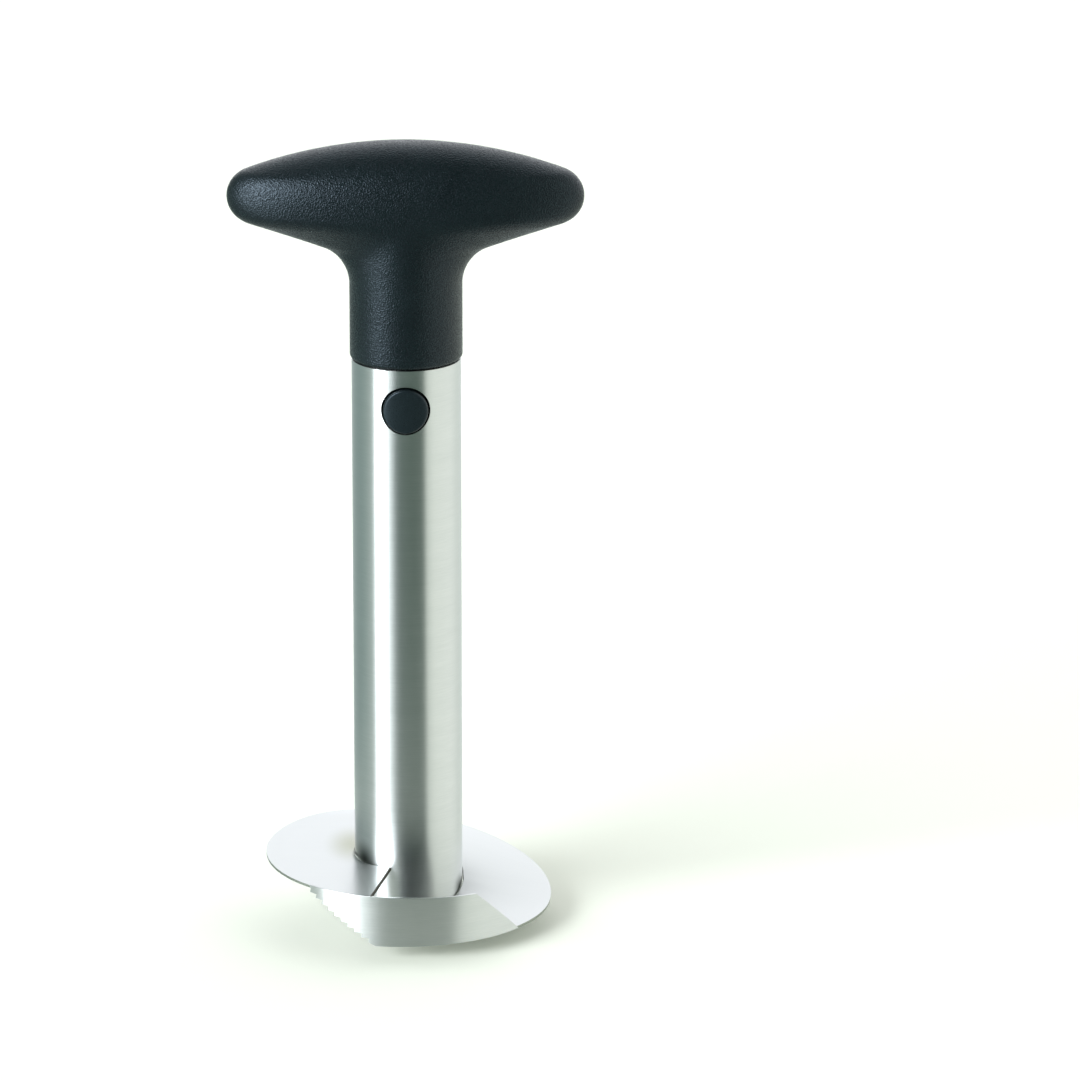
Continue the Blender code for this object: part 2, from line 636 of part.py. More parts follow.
def screw_profile(clearance, overrun):
    """A countersunk screw, head down, or with a clearance and an overrun the hole that takes it."""
    head, shank = SCREW_HEAD_RADIUS + clearance, SCREW_RADIUS + clearance
    bottom, top = CAP_BOTTOM - overrun, CAP_BOTTOM + SCREW_LENGTH + overrun
    rim, neck = CAP_BOTTOM + SCREW_HEAD_RIM, CAP_BOTTOM + SCREW_HEAD_HEIGHT + clearance
    return [(0, bottom), (head, bottom), (head, rim), (shank, neck), (shank, top), (0, top)]


def make_carrier_screw(name, x, y, parts, cutters, steel):
    """A countersunk screw with a crossed recess, driven up through the carrier into the plug."""
    screw = new_object(name, moved(turned(screw_profile(0, 0), SCREW_STEPS), x, y, 0), parts, steel)
    for number, (half_x, half_y) in enumerate(
        ((RECESS_LENGTH / 2, RECESS_WIDTH / 2), (RECESS_WIDTH / 2, RECESS_LENGTH / 2))
    ):
        low = (x - half_x, y - half_y, CAP_BOTTOM - CUT_OVERRUN)
        recess = block(low, (x + half_x, y + half_y, CAP_BOTTOM + RECESS_DEPTH))
        cut(screw, new_cutter(f"{name}_recess_{number}", recess, cutters))


def main():
    clear_scene()
    parts = new_collection("pineapple_slicer")
    cutters = new_collection("cutters", hidden=True)
    steel = new_material("brushed_stainless", (0.62, 0.63, 0.62), 0.28, 1.0)
    wire = new_material("spring_steel", (0.5, 0.5, 0.5), 0.35, 1.0)
    grip_plastic = new_material("grip_plastic", (0.012, 0.015, 0.017), 0.5)
    latch_plastic = new_material("latch_plastic", (0.02, 0.022, 0.024), 0.55)

    make_core_tube(parts, cutters, steel)
    make_spiral_blade(parts, steel)
    make_side_cutter(parts, steel)
    for name, turn in WELD_TURNS.items():
        make_weld_bead(name, turn, parts, steel)

    cavity = make_grip_cavity(cutters)
    groove = new_cutter("collar_groove", collar_disc(FIT_GAP), cutters)
    make_grip_shell("grip_front_shell", -1, (cavity, groove), parts, cutters, grip_plastic)
    make_grip_shell("grip_rear_shell", 1, (cavity, groove), parts, cutters, grip_plastic)

    make_latch_plug(parts, cutters, latch_plastic)
    make_release_button(parts, grip_plastic)
    make_button_spring(parts, wire)
    make_spring_carrier(parts, cutters, latch_plastic)
    for name, (x, y) in SCREW_PLACES.items():
        make_carrier_screw(f"carrier_screw_{name}", x, y, parts, cutters, wire)


main()
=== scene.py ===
"""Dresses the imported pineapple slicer: its finishes, its finer pieces and the studio round it.

Metres, +Z up along the tube. -Y is the front, where the release button is, and +X is the right.
"""

import json
import logging
import math
from contextlib import contextmanager
from dataclasses import dataclass, field
from enum import Enum
from typing import Any, Callable, Iterator, Sequence

import bpy
from bpy.types import Material, Node, NodeSocket, NodeTree, Object
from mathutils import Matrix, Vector

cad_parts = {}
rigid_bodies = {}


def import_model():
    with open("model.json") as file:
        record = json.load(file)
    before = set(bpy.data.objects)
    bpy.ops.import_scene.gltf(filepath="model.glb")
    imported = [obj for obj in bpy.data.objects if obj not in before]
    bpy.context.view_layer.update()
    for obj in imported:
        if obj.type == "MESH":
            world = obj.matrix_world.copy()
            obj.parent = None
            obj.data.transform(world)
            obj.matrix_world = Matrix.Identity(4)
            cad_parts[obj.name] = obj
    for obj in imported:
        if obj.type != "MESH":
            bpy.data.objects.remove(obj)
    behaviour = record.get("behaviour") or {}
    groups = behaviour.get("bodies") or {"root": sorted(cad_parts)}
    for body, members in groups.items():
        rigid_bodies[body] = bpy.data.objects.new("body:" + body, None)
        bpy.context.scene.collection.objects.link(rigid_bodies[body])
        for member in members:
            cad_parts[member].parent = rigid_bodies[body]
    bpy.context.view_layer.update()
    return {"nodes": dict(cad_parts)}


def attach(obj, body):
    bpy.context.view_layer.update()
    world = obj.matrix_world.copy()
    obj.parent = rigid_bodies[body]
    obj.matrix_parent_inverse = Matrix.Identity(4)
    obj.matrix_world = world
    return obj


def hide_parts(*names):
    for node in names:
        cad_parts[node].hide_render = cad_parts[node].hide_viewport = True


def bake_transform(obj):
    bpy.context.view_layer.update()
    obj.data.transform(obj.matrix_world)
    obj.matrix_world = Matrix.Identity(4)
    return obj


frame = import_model()

MM = 0.001
WELD_DISTANCE = 0.005 * MM  # vertices closer than this are one
SMOOTH_ANGLE = math.radians(32)  # edges sharper than this stay crisp
BEVEL_ANGLE = math.radians(50)  # edges sharper than this are rounded
SHARE, FIRST, SECOND = 0, 6, 7  # the inputs of a Mix node that mixes colours
MIXED = 2  # and its output

Point = Span = tuple[float, float]
Place = Light = tuple[float, float, float]
Colour = tuple[float, float, float, float]
BLACK: Colour = (0.0, 0.0, 0.0, 1.0)
WHITE: Colour = (1.0, 1.0, 1.0, 1.0)
log = logging.getLogger("slicer")


def linear(code: str) -> Colour:
    """Turns an sRGB hex colour into the linear colour that Blender's sockets take.

    Args:
        code: a hash and six hex digits.

    Returns:
        Linear red, green and blue, and an alpha of one.
    """
    shades = [int(code[place:place + 2], 16) / 255 for place in (1, 3, 5)]
    plain = [shade / 12.92 if shade <= 0.04045 else ((shade + 0.055) / 1.055) ** 2.4 for shade in shades]
    return (plain[0], plain[1], plain[2], 1.0)


def smooth_step(share: float) -> float:
    """Eases a share from 0 to 1, and holds it at 0 or 1 outside that range."""
    share = min(max(share, 0.0), 1.0)
    return share * share * (3 - 2 * share)


def around(bearing: float, radius: float, height: float) -> Vector:
    """The point at this bearing, which is counted from the front towards the right."""
    return Vector((radius * math.sin(bearing), -radius * math.cos(bearing), height))


def arc(centre: Point, radius: float, start: float, end: float, steps: int) -> list[Point]:
    """Points along an arc, both ends included.

    Args:
        centre: the arc's centre, as (across, height).
        radius: its radius.
        start: angle of the first point, from across towards height.
        end: angle of the last point.
        steps: the number of straight runs.

    Returns:
        The points as (across, height).
    """
    angles = [start + (end - start) * step / steps for step in range(steps + 1)]
    return [(centre[0] + radius * math.cos(angle), centre[1] + radius * math.sin(angle)) for angle in angles]


def fill(tree: NodeTree, node: Node, inputs: dict[Any, Any]) -> None:
    """Fills a node's inputs.

    Args:
        tree: the node tree that holds the node.
        node: the node.
        inputs: its inputs by name or number, each a plain value or the output that feeds it.
    """
    for key, value in inputs.items():
        if isinstance(value, NodeSocket):
            tree.links.new(value, node.inputs[key])
        else:
            node.inputs[key].default_value = value


def add_node(
    tree: NodeTree,
    kind: str,
    inputs: dict[Any, Any],
    stops: Sequence[tuple[float, Colour]] = (),
    **settings: Any,
) -> Node:
    """Adds a node, sets its options and fills its inputs.

    Args:
        tree: the node tree that takes the node.
        kind: the node's type, without the word ShaderNode.
        inputs: its inputs by name or number, each a plain value or the output that feeds it.
        stops: for a colour ramp, each stop's place from 0 to 1 and its colour, in order.
        settings: the node's options by name.

    Returns:
        The new node.
    """
    node = tree.nodes.new(f"ShaderNode{kind}")
    for name, value in settings.items():
        setattr(node, name, value)
    if stops:
        elements = node.color_ramp.elements
        while len(elements) < len(stops):
            elements.new(1.0)
        for element, (position, colour) in zip(elements, stops):
            element.position, element.color = position, colour
    fill(tree, node, inputs)
    return node


class Ease(Enum):
    """How a colour changes between the two ends of a fade."""

    EVENLY = "LINEAR"
    SOFTLY = "SMOOTHSTEP"


def fade(
    tree: NodeTree, value: NodeSocket, ends: Span, before: Any, after: Any, ease: Ease = Ease.SOFTLY
) -> NodeSocket:
    """Changes one colour into another while a value passes between two ends.

    Args:
        tree: the node tree.
        value: the output that gives the value.
        ends: the lower and the upper end.
        before: the colour up to the lower end, or the output that gives it.
        after: the same from the upper end on.
        ease: how it changes between them.

    Returns:
        The output that gives the colour.
    """
    share = add_node(tree, "MapRange", {
        "Value": value, "From Min": ends[0], "From Max": ends[1],
    }, interpolation_type=ease.value)
    return add_node(tree, "Mix", {
        SHARE: share.outputs["Result"], FIRST: before, SECOND: after,
    }, data_type="RGBA").outputs[MIXED]


def start_material(name: str) -> tuple[Material, NodeTree, NodeSocket]:
    """Starts a material.

    Args:
        name: its name, after the real material.

    Returns:
        The material, its node tree and the output that gives Object coordinates.
    """
    material = bpy.data.materials.new(name)
    material.use_nodes = True
    place = add_node(material.node_tree, "TexCoord", {}).outputs["Object"]
    return material, material.node_tree, place


def roughen(
    tree: NodeTree, pattern: NodeSocket, span: Span, roughness: Span, bump_mm: float
) -> dict[str, NodeSocket]:
    """Makes a surface's roughness and height follow a pattern.

    Args:
        tree: the material's node tree.
        pattern: the output that gives the pattern.
        span: the two values of the pattern between which the roughness changes.
        roughness: the roughness at each of them.
        bump_mm: the pattern's height, or 0 for a flat surface.

    Returns:
        The outputs for the shader's Roughness and Normal.
    """
    rough = add_node(tree, "MapRange", {
        "Value": pattern, "From Min": span[0], "From Max": span[1],
        "To Min": roughness[0], "To Max": roughness[1],
    })
    feeds = {"Roughness": rough.outputs["Result"]}
    if bump_mm:
        bump = add_node(tree, "Bump", {"Distance": bump_mm * MM, "Height": pattern})
        feeds["Normal"] = bump.outputs["Normal"]
    return feeds


class Grain(Enum):
    """Which way the brushed lines of a sheet run."""

    ROUND_THE_TUBE = "round"
    ALONG_THE_BAR = "along"


@dataclass(frozen=True)
class PaintedShadePatch:
    """A patch of painted shade: the metal is darker round a centre, where the tube and the blade meet and
    shade falls.
    """

    centre: Place
    reach: float
    tint: str
    squeeze: Place = (1, 1, 1)  # the patch is narrower along an axis with more of it


@dataclass(frozen=True)
class BrushedStainless:
    """Cold-rolled 18/8 stainless steel, belt-brushed: long fine scratches smear a reflection across them."""

    name: str
    grain: Grain
    base: str = "#D2D4D4"
    stained: str = "#C6C9C9"
    roughness: Span = (0.295, 0.345)
    anisotropy: float = 0.9
    scratch_mm: float = 0.22  # real belt scratches are 0.02 mm apart, drawn coarser so that they show
    streak_mm: float = 7.0
    band_mm: float = 2.6
    band_length: float = 3.0  # in streaks
    band_share: float = 0.3
    bump_mm: float = 0.001
    colour_span: Span = (0.4, 0.9)
    roughness_span: Span = (0.3, 0.7)
    painted_shades: tuple[PaintedShadePatch, ...] = ()

    def scratched(self, tree: NodeTree, place: NodeSocket, across_mm: float, along_mm: float) -> NodeSocket:
        """Stretches coordinates so that a noise becomes scratches.

        Args:
            tree: the material's node tree.
            place: the output that gives the coordinates.
            across_mm: size of the noise across the scratches.
            along_mm: its size along them.

        Returns:
            The output that gives the stretched coordinates.
        """
        across, along = 1 / (across_mm * MM), 1 / (along_mm * MM)
        scale = (along, along, across) if self.grain is Grain.ROUND_THE_TUBE else (along, across, along)
        return add_node(tree, "Mapping", {"Vector": place, "Scale": scale}).outputs["Vector"]

    def paint_shade(self, tree: NodeTree, place: NodeSocket, colour: NodeSocket) -> NodeSocket:
        """Paints shade on the metal beside the blade's hole, where the tube and the blade meet.

        Args:
            tree: the material's node tree.
            place: the output that gives the coordinates.
            colour: the output that gives the plain metal's colour.

        Returns:
            The output that gives the colour with its painted shade.
        """
        for patch in self.painted_shades:
            vector = place
            for operation, operand in (("SUBTRACT", patch.centre), ("MULTIPLY", patch.squeeze)):
                step = add_node(tree, "VectorMath", {0: vector, 1: operand}, operation=operation)
                vector = step.outputs["Vector"]
            away = add_node(tree, "VectorMath", {0: vector}, operation="LENGTH").outputs["Value"]
            colour = fade(tree, away, (0.0, patch.reach), linear(patch.tint), colour)
        return colour

    def material(self) -> Material:
        """Builds the material: its scratches change its colour, roughness and height.

        Returns:
            The new material.
        """
        material, tree, place = start_material(self.name)
        scratches = add_node(tree, "TexNoise", {
            "Vector": self.scratched(tree, place, self.scratch_mm, self.streak_mm),
            "Scale": 1.0, "Detail": 4.0, "Roughness": 0.75,
        }).outputs["Fac"]
        bands = add_node(tree, "TexNoise", {
            "Vector": self.scratched(tree, place, self.band_mm, self.band_length * self.streak_mm),
            "Scale": 1.0, "Detail": 2.0,
        }).outputs["Fac"]
        mixed = add_node(
            tree, "Math", {0: bands, 1: self.band_share, 2: scratches}, operation="MULTIPLY_ADD"
        ).outputs[0]
        plain = fade(tree, mixed, self.colour_span, linear(self.stained), linear(self.base), Ease.EVENLY)
        smear = add_node(tree, "CombineXYZ", {
            ("Z" if self.grain is Grain.ROUND_THE_TUBE else "Y"): 1.0,
        })
        fill(tree, tree.nodes["Principled BSDF"], {
            "Base Color": self.paint_shade(tree, place, plain), "Metallic": 1.0, "Anisotropic": self.anisotropy,
            "Tangent": smear.outputs["Vector"],
            **roughen(tree, scratches, self.roughness_span, self.roughness, self.bump_mm),
        })
        return material


@dataclass(frozen=True)
class MouldedPlastic:
    """Nylon or acetal from a spark-eroded mould: near black and matte, with a fine pebbled skin."""

    name: str
    dark: str = "#070D0F"
    light: str = "#121B1D"
    sheen: str = "#D8ECFF"
    index: float = 1.46
    roughness: Span = (0.49, 0.19)  # between the pebbles and on top of them
    specular: float = 0.38
    pebble_mm: float = 0.42  # real pebbles are about 0.1 mm, drawn coarser so that they show
    bump_mm: float = 0.13
    cloud_mm: float = 9.0
    cloud_share: float = 0.4
    colour_span: Span = (0.5, 0.9)
    roughness_span: Span = (0.35, 0.65)

    def material(self) -> Material:
        """Builds the material: its pebbles change its colour, roughness and height.

        Returns:
            The new material.
        """
        material, tree, place = start_material(self.name)
        clouds, pebbles = (
            add_node(tree, "TexNoise", {
                "Vector": place, "Scale": 1 / (size * MM), "Detail": detail,
            }).outputs["Fac"]
            for size, detail in ((self.cloud_mm, 3.0), (self.pebble_mm, 0.0))
        )
        mottled = add_node(
            tree, "Math", {0: clouds, 1: self.cloud_share, 2: pebbles}, operation="MULTIPLY_ADD"
        ).outputs[0]
        colour = fade(tree, mottled, self.colour_span, linear(self.dark), linear(self.light), Ease.EVENLY)
        fill(tree, tree.nodes["Principled BSDF"], {
            "Base Color": colour, "IOR": self.index, "Specular IOR Level": self.specular,
            "Specular Tint": linear(self.sheen),
            **roughen(tree, pebbles, self.roughness_span, self.roughness, self.bump_mm),
        })
        return material


@dataclass(frozen=True)
class MottledMetal:
    """Metal, bare or under an oxide, whose colour and roughness follow one fine noise."""

    name: str
    colours: tuple[tuple[float, str], ...]  # places along the noise and the colours there
    roughness: Span
    mark_mm: float
    detail: float
    metallic: float = 1.0
    bump_mm: float = 0.0

    def material(self) -> Material:
        """Builds the material.

        Returns:
            The new material.
        """
        material, tree, place = start_material(self.name)
        marks = add_node(tree, "TexNoise", {
            "Vector": place, "Scale": 1 / (self.mark_mm * MM), "Detail": self.detail,
        }).outputs["Fac"]
        tint = add_node(
            tree, "ValToRGB", {"Fac": marks}, [(spot, linear(code)) for spot, code in self.colours]
        )
        fill(tree, tree.nodes["Principled BSDF"], {
            "Base Color": tint.outputs["Color"], "Metallic": self.metallic,
            **roughen(tree, marks, (0.0, 1.0), self.roughness, self.bump_mm),
        })
        return material


class Finishes:
    """The finishes of the whole slicer, each built once and shared."""

    def __init__(self) -> None:
        """Builds every finish."""
        # The tube's two patches are painted shade at its foot, in the dark gaps where it meets the blade.
        self.tube = BrushedStainless("stainless_brushed_round", Grain.ROUND_THE_TUBE, painted_shades=(
            PaintedShadePatch((-13 * MM, -9.3 * MM, 20.5 * MM), 7 * MM, "#3A3F3E"),
            PaintedShadePatch((15.2 * MM, -4.9 * MM, 10.8 * MM), 5 * MM, "#5A5E5A"),
        )).material()
        # The sheet's patch is painted shade on the sheet beside the tube, at its left.
        self.sheet = BrushedStainless(
            "stainless_brushed_sheet", Grain.ALONG_THE_BAR, stained="#CED0D0", roughness=(0.32, 0.36),
            anisotropy=0.75, bump_mm=0.0005,
            painted_shades=(PaintedShadePatch((-17 * MM, 4 * MM, 20 * MM), 13 * MM, "#B2B4A6", (1.4, 0.7, 0)),),
        ).material()
        # A laser leaves brown-black oxide over fine ridges through the sheet, which is a matte scale. This
        # finish also paints shade: on the slit's end, on a strip of the top beside it, and on the edge of the
        # hole where the gap is shaded.
        self.oxide_and_shade = MottledMetal(
            "laser_oxide_and_painted_shade", ((0.0, "#2E2B24"), (1.0, "#5A564C")), (0.8, 0.8), 0.3, 2.0, 0.0,
        ).material()
        # A sheared edge is bare metal, dull from its fine ridges; its darker colour is a painted reflection,
        # the dark line seen along the rim.
        self.rim = MottledMetal(
            "sheared_edge_painted_reflection", ((0.0, "#83897F"), (1.0, "#A6ABA2")), (0.5, 0.5), 0.3, 2.0,
        ).material()
        self.grip = MouldedPlastic("nylon_spark_eroded").material()
        self.button = MouldedPlastic(
            "nylon_fine_eroded", dark="#10181B", light="#182023", roughness=(0.37, 0.27), pebble_mm=0.3,
            bump_mm=0.006,
        ).material()
        self.latch = MouldedPlastic(
            "acetal_moulded", dark="#202325", light="#2B2E30", roughness=(0.43, 0.33), pebble_mm=0.6,
            bump_mm=0.006,
        ).material()
        # Drawn or cold-headed steel is bright, with short soft marks from the die.
        self.wire = MottledMetal(
            "spring_wire_bright", ((0.0, "#8F9394"), (1.0, "#B9BCBC")), (0.20, 0.36), 0.5, 3.0, bump_mm=0.004,
        ).material()
        # Stainless filler, left as welded, has straw and blue heat tint in patches; its near-black colour is
        # painted shade, for the dark gaps between the tube and the blade.
        self.weld = MottledMetal(
            "weld_metal_painted_shade", ((0.42, "#3F3D37"), (0.55, "#463A24"), (0.68, "#22262F")), (0.7, 0.95),
            1.6, 3.0,
        ).material()


def deselect_all() -> None:
    """Deselects every object, because an operator acts on all that is selected."""
    for obj in bpy.context.view_layer.objects:
        obj.select_set(False)


def make_active(obj: Object) -> None:
    """Selects one object alone and makes it active.

    Args:
        obj: the object.
    """
    deselect_all()
    obj.select_set(True)
    bpy.context.view_layer.objects.active = obj


def add_primitive(name: str, add: Callable[..., Any], **settings: Any) -> Object:
    """Adds a primitive with nothing else selected, and moves its place into its mesh.

    Args:
        name: the new object's name.
        add: the operator that adds the primitive.
        settings: the operator's settings.

    Returns:
        The new object.
    """
    deselect_all()
    add(**settings)
    obj = bpy.context.active_object
    obj.name = obj.data.name = name
    bpy.ops.object.transform_apply(location=True, rotation=True, scale=True)
    return obj


@contextmanager
def editing(obj: Object, mode: str = "VERT") -> Iterator[None]:
    """Opens an object in edit mode with everything selected, and closes it again.

    Args:
        obj: the object.
        mode: what is selected by: VERT, EDGE or FACE.

    Yields:
        Nothing.
    """
    make_active(obj)
    bpy.ops.object.mode_set(mode="EDIT")
    bpy.ops.mesh.select_mode(type=mode)
    bpy.ops.mesh.select_all(action="SELECT")
    yield
    bpy.ops.object.mode_set(mode="OBJECT")


def tidy_mesh(obj: Object) -> None:
    """Merges doubles and turns the faces outwards.

    Args:
        obj: the object.
    """
    with editing(obj):
        bpy.ops.mesh.remove_doubles(threshold=WELD_DISTANCE)
        bpy.ops.mesh.normals_make_consistent(inside=False)


def modify(obj: Object, kind: str, **settings: Any) -> None:
    """Adds a modifier and applies it at once.

    Args:
        obj: the object.
        kind: the modifier's type.
        settings: its options by name.
    """
    modifier = obj.modifiers.new(kind.lower(), kind)
    for name, value in settings.items():
        setattr(modifier, name, value)
    make_active(obj)
    bpy.ops.object.modifier_apply(modifier=modifier.name)


def round_edges(obj: Object, width: float) -> None:
    """Rounds the sharp edges with a narrow bevel.

    Args:
        obj: the object.
        width: the bevel's width.
    """
    modify(
        obj, "BEVEL", width=width, segments=2, limit_method="ANGLE", angle_limit=BEVEL_ANGLE,
        use_clamp_overlap=True,
    )


def draw_profile(name: str, points: Sequence[Point]) -> Object:
    """Draws an open line in the XZ plane by extruding one vertex from point to point.

    Args:
        name: the new object's name.
        points: the line's points as (across, height).

    Returns:
        The new object.
    """
    profile = add_primitive(name, bpy.ops.mesh.primitive_plane_add, size=MM)
    with editing(profile):
        bpy.ops.mesh.merge(type="CENTER")
        bpy.ops.transform.translate(value=(points[0][0], 0, points[0][1]))
        for (x, z), (next_x, next_z) in zip(points, points[1:]):
            bpy.ops.mesh.extrude_region_move(TRANSFORM_OT_translate={"value": (next_x - x, 0, next_z - z)})
    return profile


def turn_profile(obj: Object, steps: int, angle: float = -math.tau) -> None:
    """Spins a profile about Z into a turned piece.

    Args:
        obj: the object that holds the profile.
        steps: the number of steps.
        angle: how far it turns, clockwise as seen from above if it is more than nothing.
    """
    with editing(obj):
        bpy.ops.mesh.spin(steps=steps, angle=angle, center=(0, 0, 0), axis=(0, 0, 1))
    tidy_mesh(obj)


def move_points(obj: Object, place: Callable[[Vector], Sequence[float]]) -> None:
    """Moves each vertex of a mesh to a place worked out from where it is.

    Args:
        obj: the object.
        place: gives a vertex's new place from its old one.
    """
    for vert in obj.data.vertices:
        vert.co = place(vert.co.copy())
    obj.data.update()


def finish_piece(
    obj: Object,
    node: str,
    finish: Material,
    body: str = "slicer",
    angle: float = SMOOTH_ANGLE,
    flat_faces_lead: bool = False,
) -> None:
    """Puts a finished piece on its body with its finish.

    Args:
        obj: the piece.
        node: the CAD node that it stands for.
        finish: its material.
        body: the CAD body that it rides on.
        angle: edges sharper than this stay crisp.
        flat_faces_lead: whether large faces keep their own shading, so that only the rounded edges blend.
    """
    make_active(obj)
    bpy.ops.object.shade_smooth_by_angle(angle=angle)
    if flat_faces_lead:
        modify(obj, "WEIGHTED_NORMAL", mode="FACE_AREA", weight=100, keep_sharp=True)
    obj.data.materials.clear()
    obj.data.materials.append(finish)
    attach(obj, body)
    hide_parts(node)
    log.info("%s: %d faces, stands for %s", obj.name, len(obj.data.polygons), node)


@dataclass
class CoreTube:
    """The steel tube that cores the fruit, toothed below, with the release button's hole above."""

    length: float = 172.5 * MM
    outer_radius: float = 16 * MM
    wall: float = 1 * MM
    teeth: int = 24
    columns_per_tooth: int = 12
    tooth_depth: float = 2 * MM
    hole_radius: float = 7.2 * MM
    hole_height: float = 160.5 * MM
    hole_steps: int = 96
    drill_reach: float = 20 * MM  # from the tube's axis to well in front of it
    edge_round: float = 0.12 * MM
    rings: tuple[float, ...] = (2.4 * MM, 20 * MM, 150 * MM, 171 * MM)  # cuts that keep the shading true

    def tooth_rise(self, column: int) -> float:
        """How far the tube's lower edge stands above the teeth's tips in this column.

        Args:
            column: the column's number, from the middle of one tooth's first side.

        Returns:
            The rise in metres.
        """
        quarter = self.columns_per_tooth // 4
        place = column % self.columns_per_tooth
        if place <= quarter:
            return 0.0
        if place < 2 * quarter:
            return self.tooth_depth * (place - quarter) / quarter
        if place <= 3 * quarter:
            return self.tooth_depth
        return self.tooth_depth * (self.columns_per_tooth - place) / quarter

    def build(self, finish: Material) -> None:
        """Models the tube from an open cylinder.

        Args:
            finish: the tube's material.
        """
        columns = self.teeth * self.columns_per_tooth
        tube = add_primitive(
            "core_tube_brushed", bpy.ops.mesh.primitive_cylinder_add, vertices=columns,
            radius=self.outer_radius, depth=self.length, end_fill_type="NOTHING",
            location=(0, 0, self.length / 2),
        )
        for vert in tube.data.vertices:
            if vert.co.z < self.length / 2:
                column = round(math.atan2(vert.co.y, vert.co.x) / math.tau * columns)
                vert.co.z = self.tooth_rise(column)
        with editing(tube):
            for height in self.rings:
                bpy.ops.mesh.select_all(action="SELECT")
                bpy.ops.mesh.bisect(plane_co=(0, 0, height), plane_no=(0, 0, 1))
        modify(tube, "SOLIDIFY", thickness=self.wall, offset=-1)
        self.drill(tube)
        round_edges(tube, self.edge_round)
        finish_piece(tube, "core_tube", finish, flat_faces_lead=True)

    def drill(self, tube: Object) -> None:
        """Cuts the release button's hole through the tube's front wall.

        Args:
            tube: the tube.
        """
        drill = add_primitive(
            "drill", bpy.ops.mesh.primitive_cylinder_add, vertices=self.hole_steps, radius=self.hole_radius,
            depth=self.drill_reach, location=(0, -self.drill_reach / 2, self.hole_height),
            rotation=(math.pi / 2, 0, 0),
        )
        modify(tube, "BOOLEAN", operation="DIFFERENCE", solver="EXACT", object=drill)
        bpy.data.objects.remove(drill)


@dataclass
class BladeShape:
    """Where the spiral sheet runs. Its turns are counted clockwise from the slit, as seen from above."""

    rim_radius: float = 42.3 * MM
    hole_radius: float = 16.3 * MM
    sheet: float = 0.8 * MM
    lead_level: float = 5.4 * MM
    lead_fall: float = 0.6 * MM
    slit_level: float = 19.9 * MM
    crest_rise: float = 1 * MM
    ramp_start: float = math.radians(115)
    ramp_end: float = math.radians(280)
    ramp_lag: float = math.radians(48)
    sweep: float = math.radians(358.5)
    slit: float = math.radians(11.7)
    slit_offset: float = 1.7 * MM
    relief_depth: float = 0.8 * MM
    relief_turn: float = math.radians(37)
    relief_half_sweep: float = math.radians(28)
    close_fit: float = 0.25 * MM  # behind the tube the hole fits this much closer
    close_start: float = math.radians(56)
    close_end: float = math.radians(250)
    close_run: float = math.radians(10)

    def slit_bearing(self, radius: float) -> float:
        """The slit's bearing at this radius."""
        return -(self.slit + math.asin(self.slit_offset / radius))

    def inner_radius(self, turn: float) -> float:
        """The sheet's inner radius, with the relief beside the tube at the left.

        Args:
            turn: how far round from the slit.

        Returns:
            The radius in metres.
        """
        away = (turn - self.relief_turn) / self.relief_half_sweep
        relief = self.relief_depth * max(1 - away * away, 0.0) ** 2
        begun = smooth_step((turn - self.close_start) / self.close_run)
        ended = smooth_step((turn - self.close_end) / self.close_run)
        return self.hole_radius + relief - self.close_fit * (begun - ended)

    def top(self, turn: float, width_share: float = 1.0) -> float:
        """Height of the sheet's upper face.

        Args:
            turn: how far round from the slit.
            width_share: 0 at the tube and 1 at the rim.

        Returns:
            The height in metres.
        """
        crest = self.slit_level + self.crest_rise * smooth_step(turn / self.ramp_start)
        past = min(max((turn - self.ramp_end) / (self.sweep - self.ramp_end), 0.0), 1.0)
        foot = self.lead_level + self.lead_fall * (1 - past)
        lag = self.ramp_lag * (1 - width_share)
        ramp = smooth_step((turn - self.ramp_start - lag) / (self.ramp_end - self.ramp_start))
        return crest + (foot - crest) * ramp


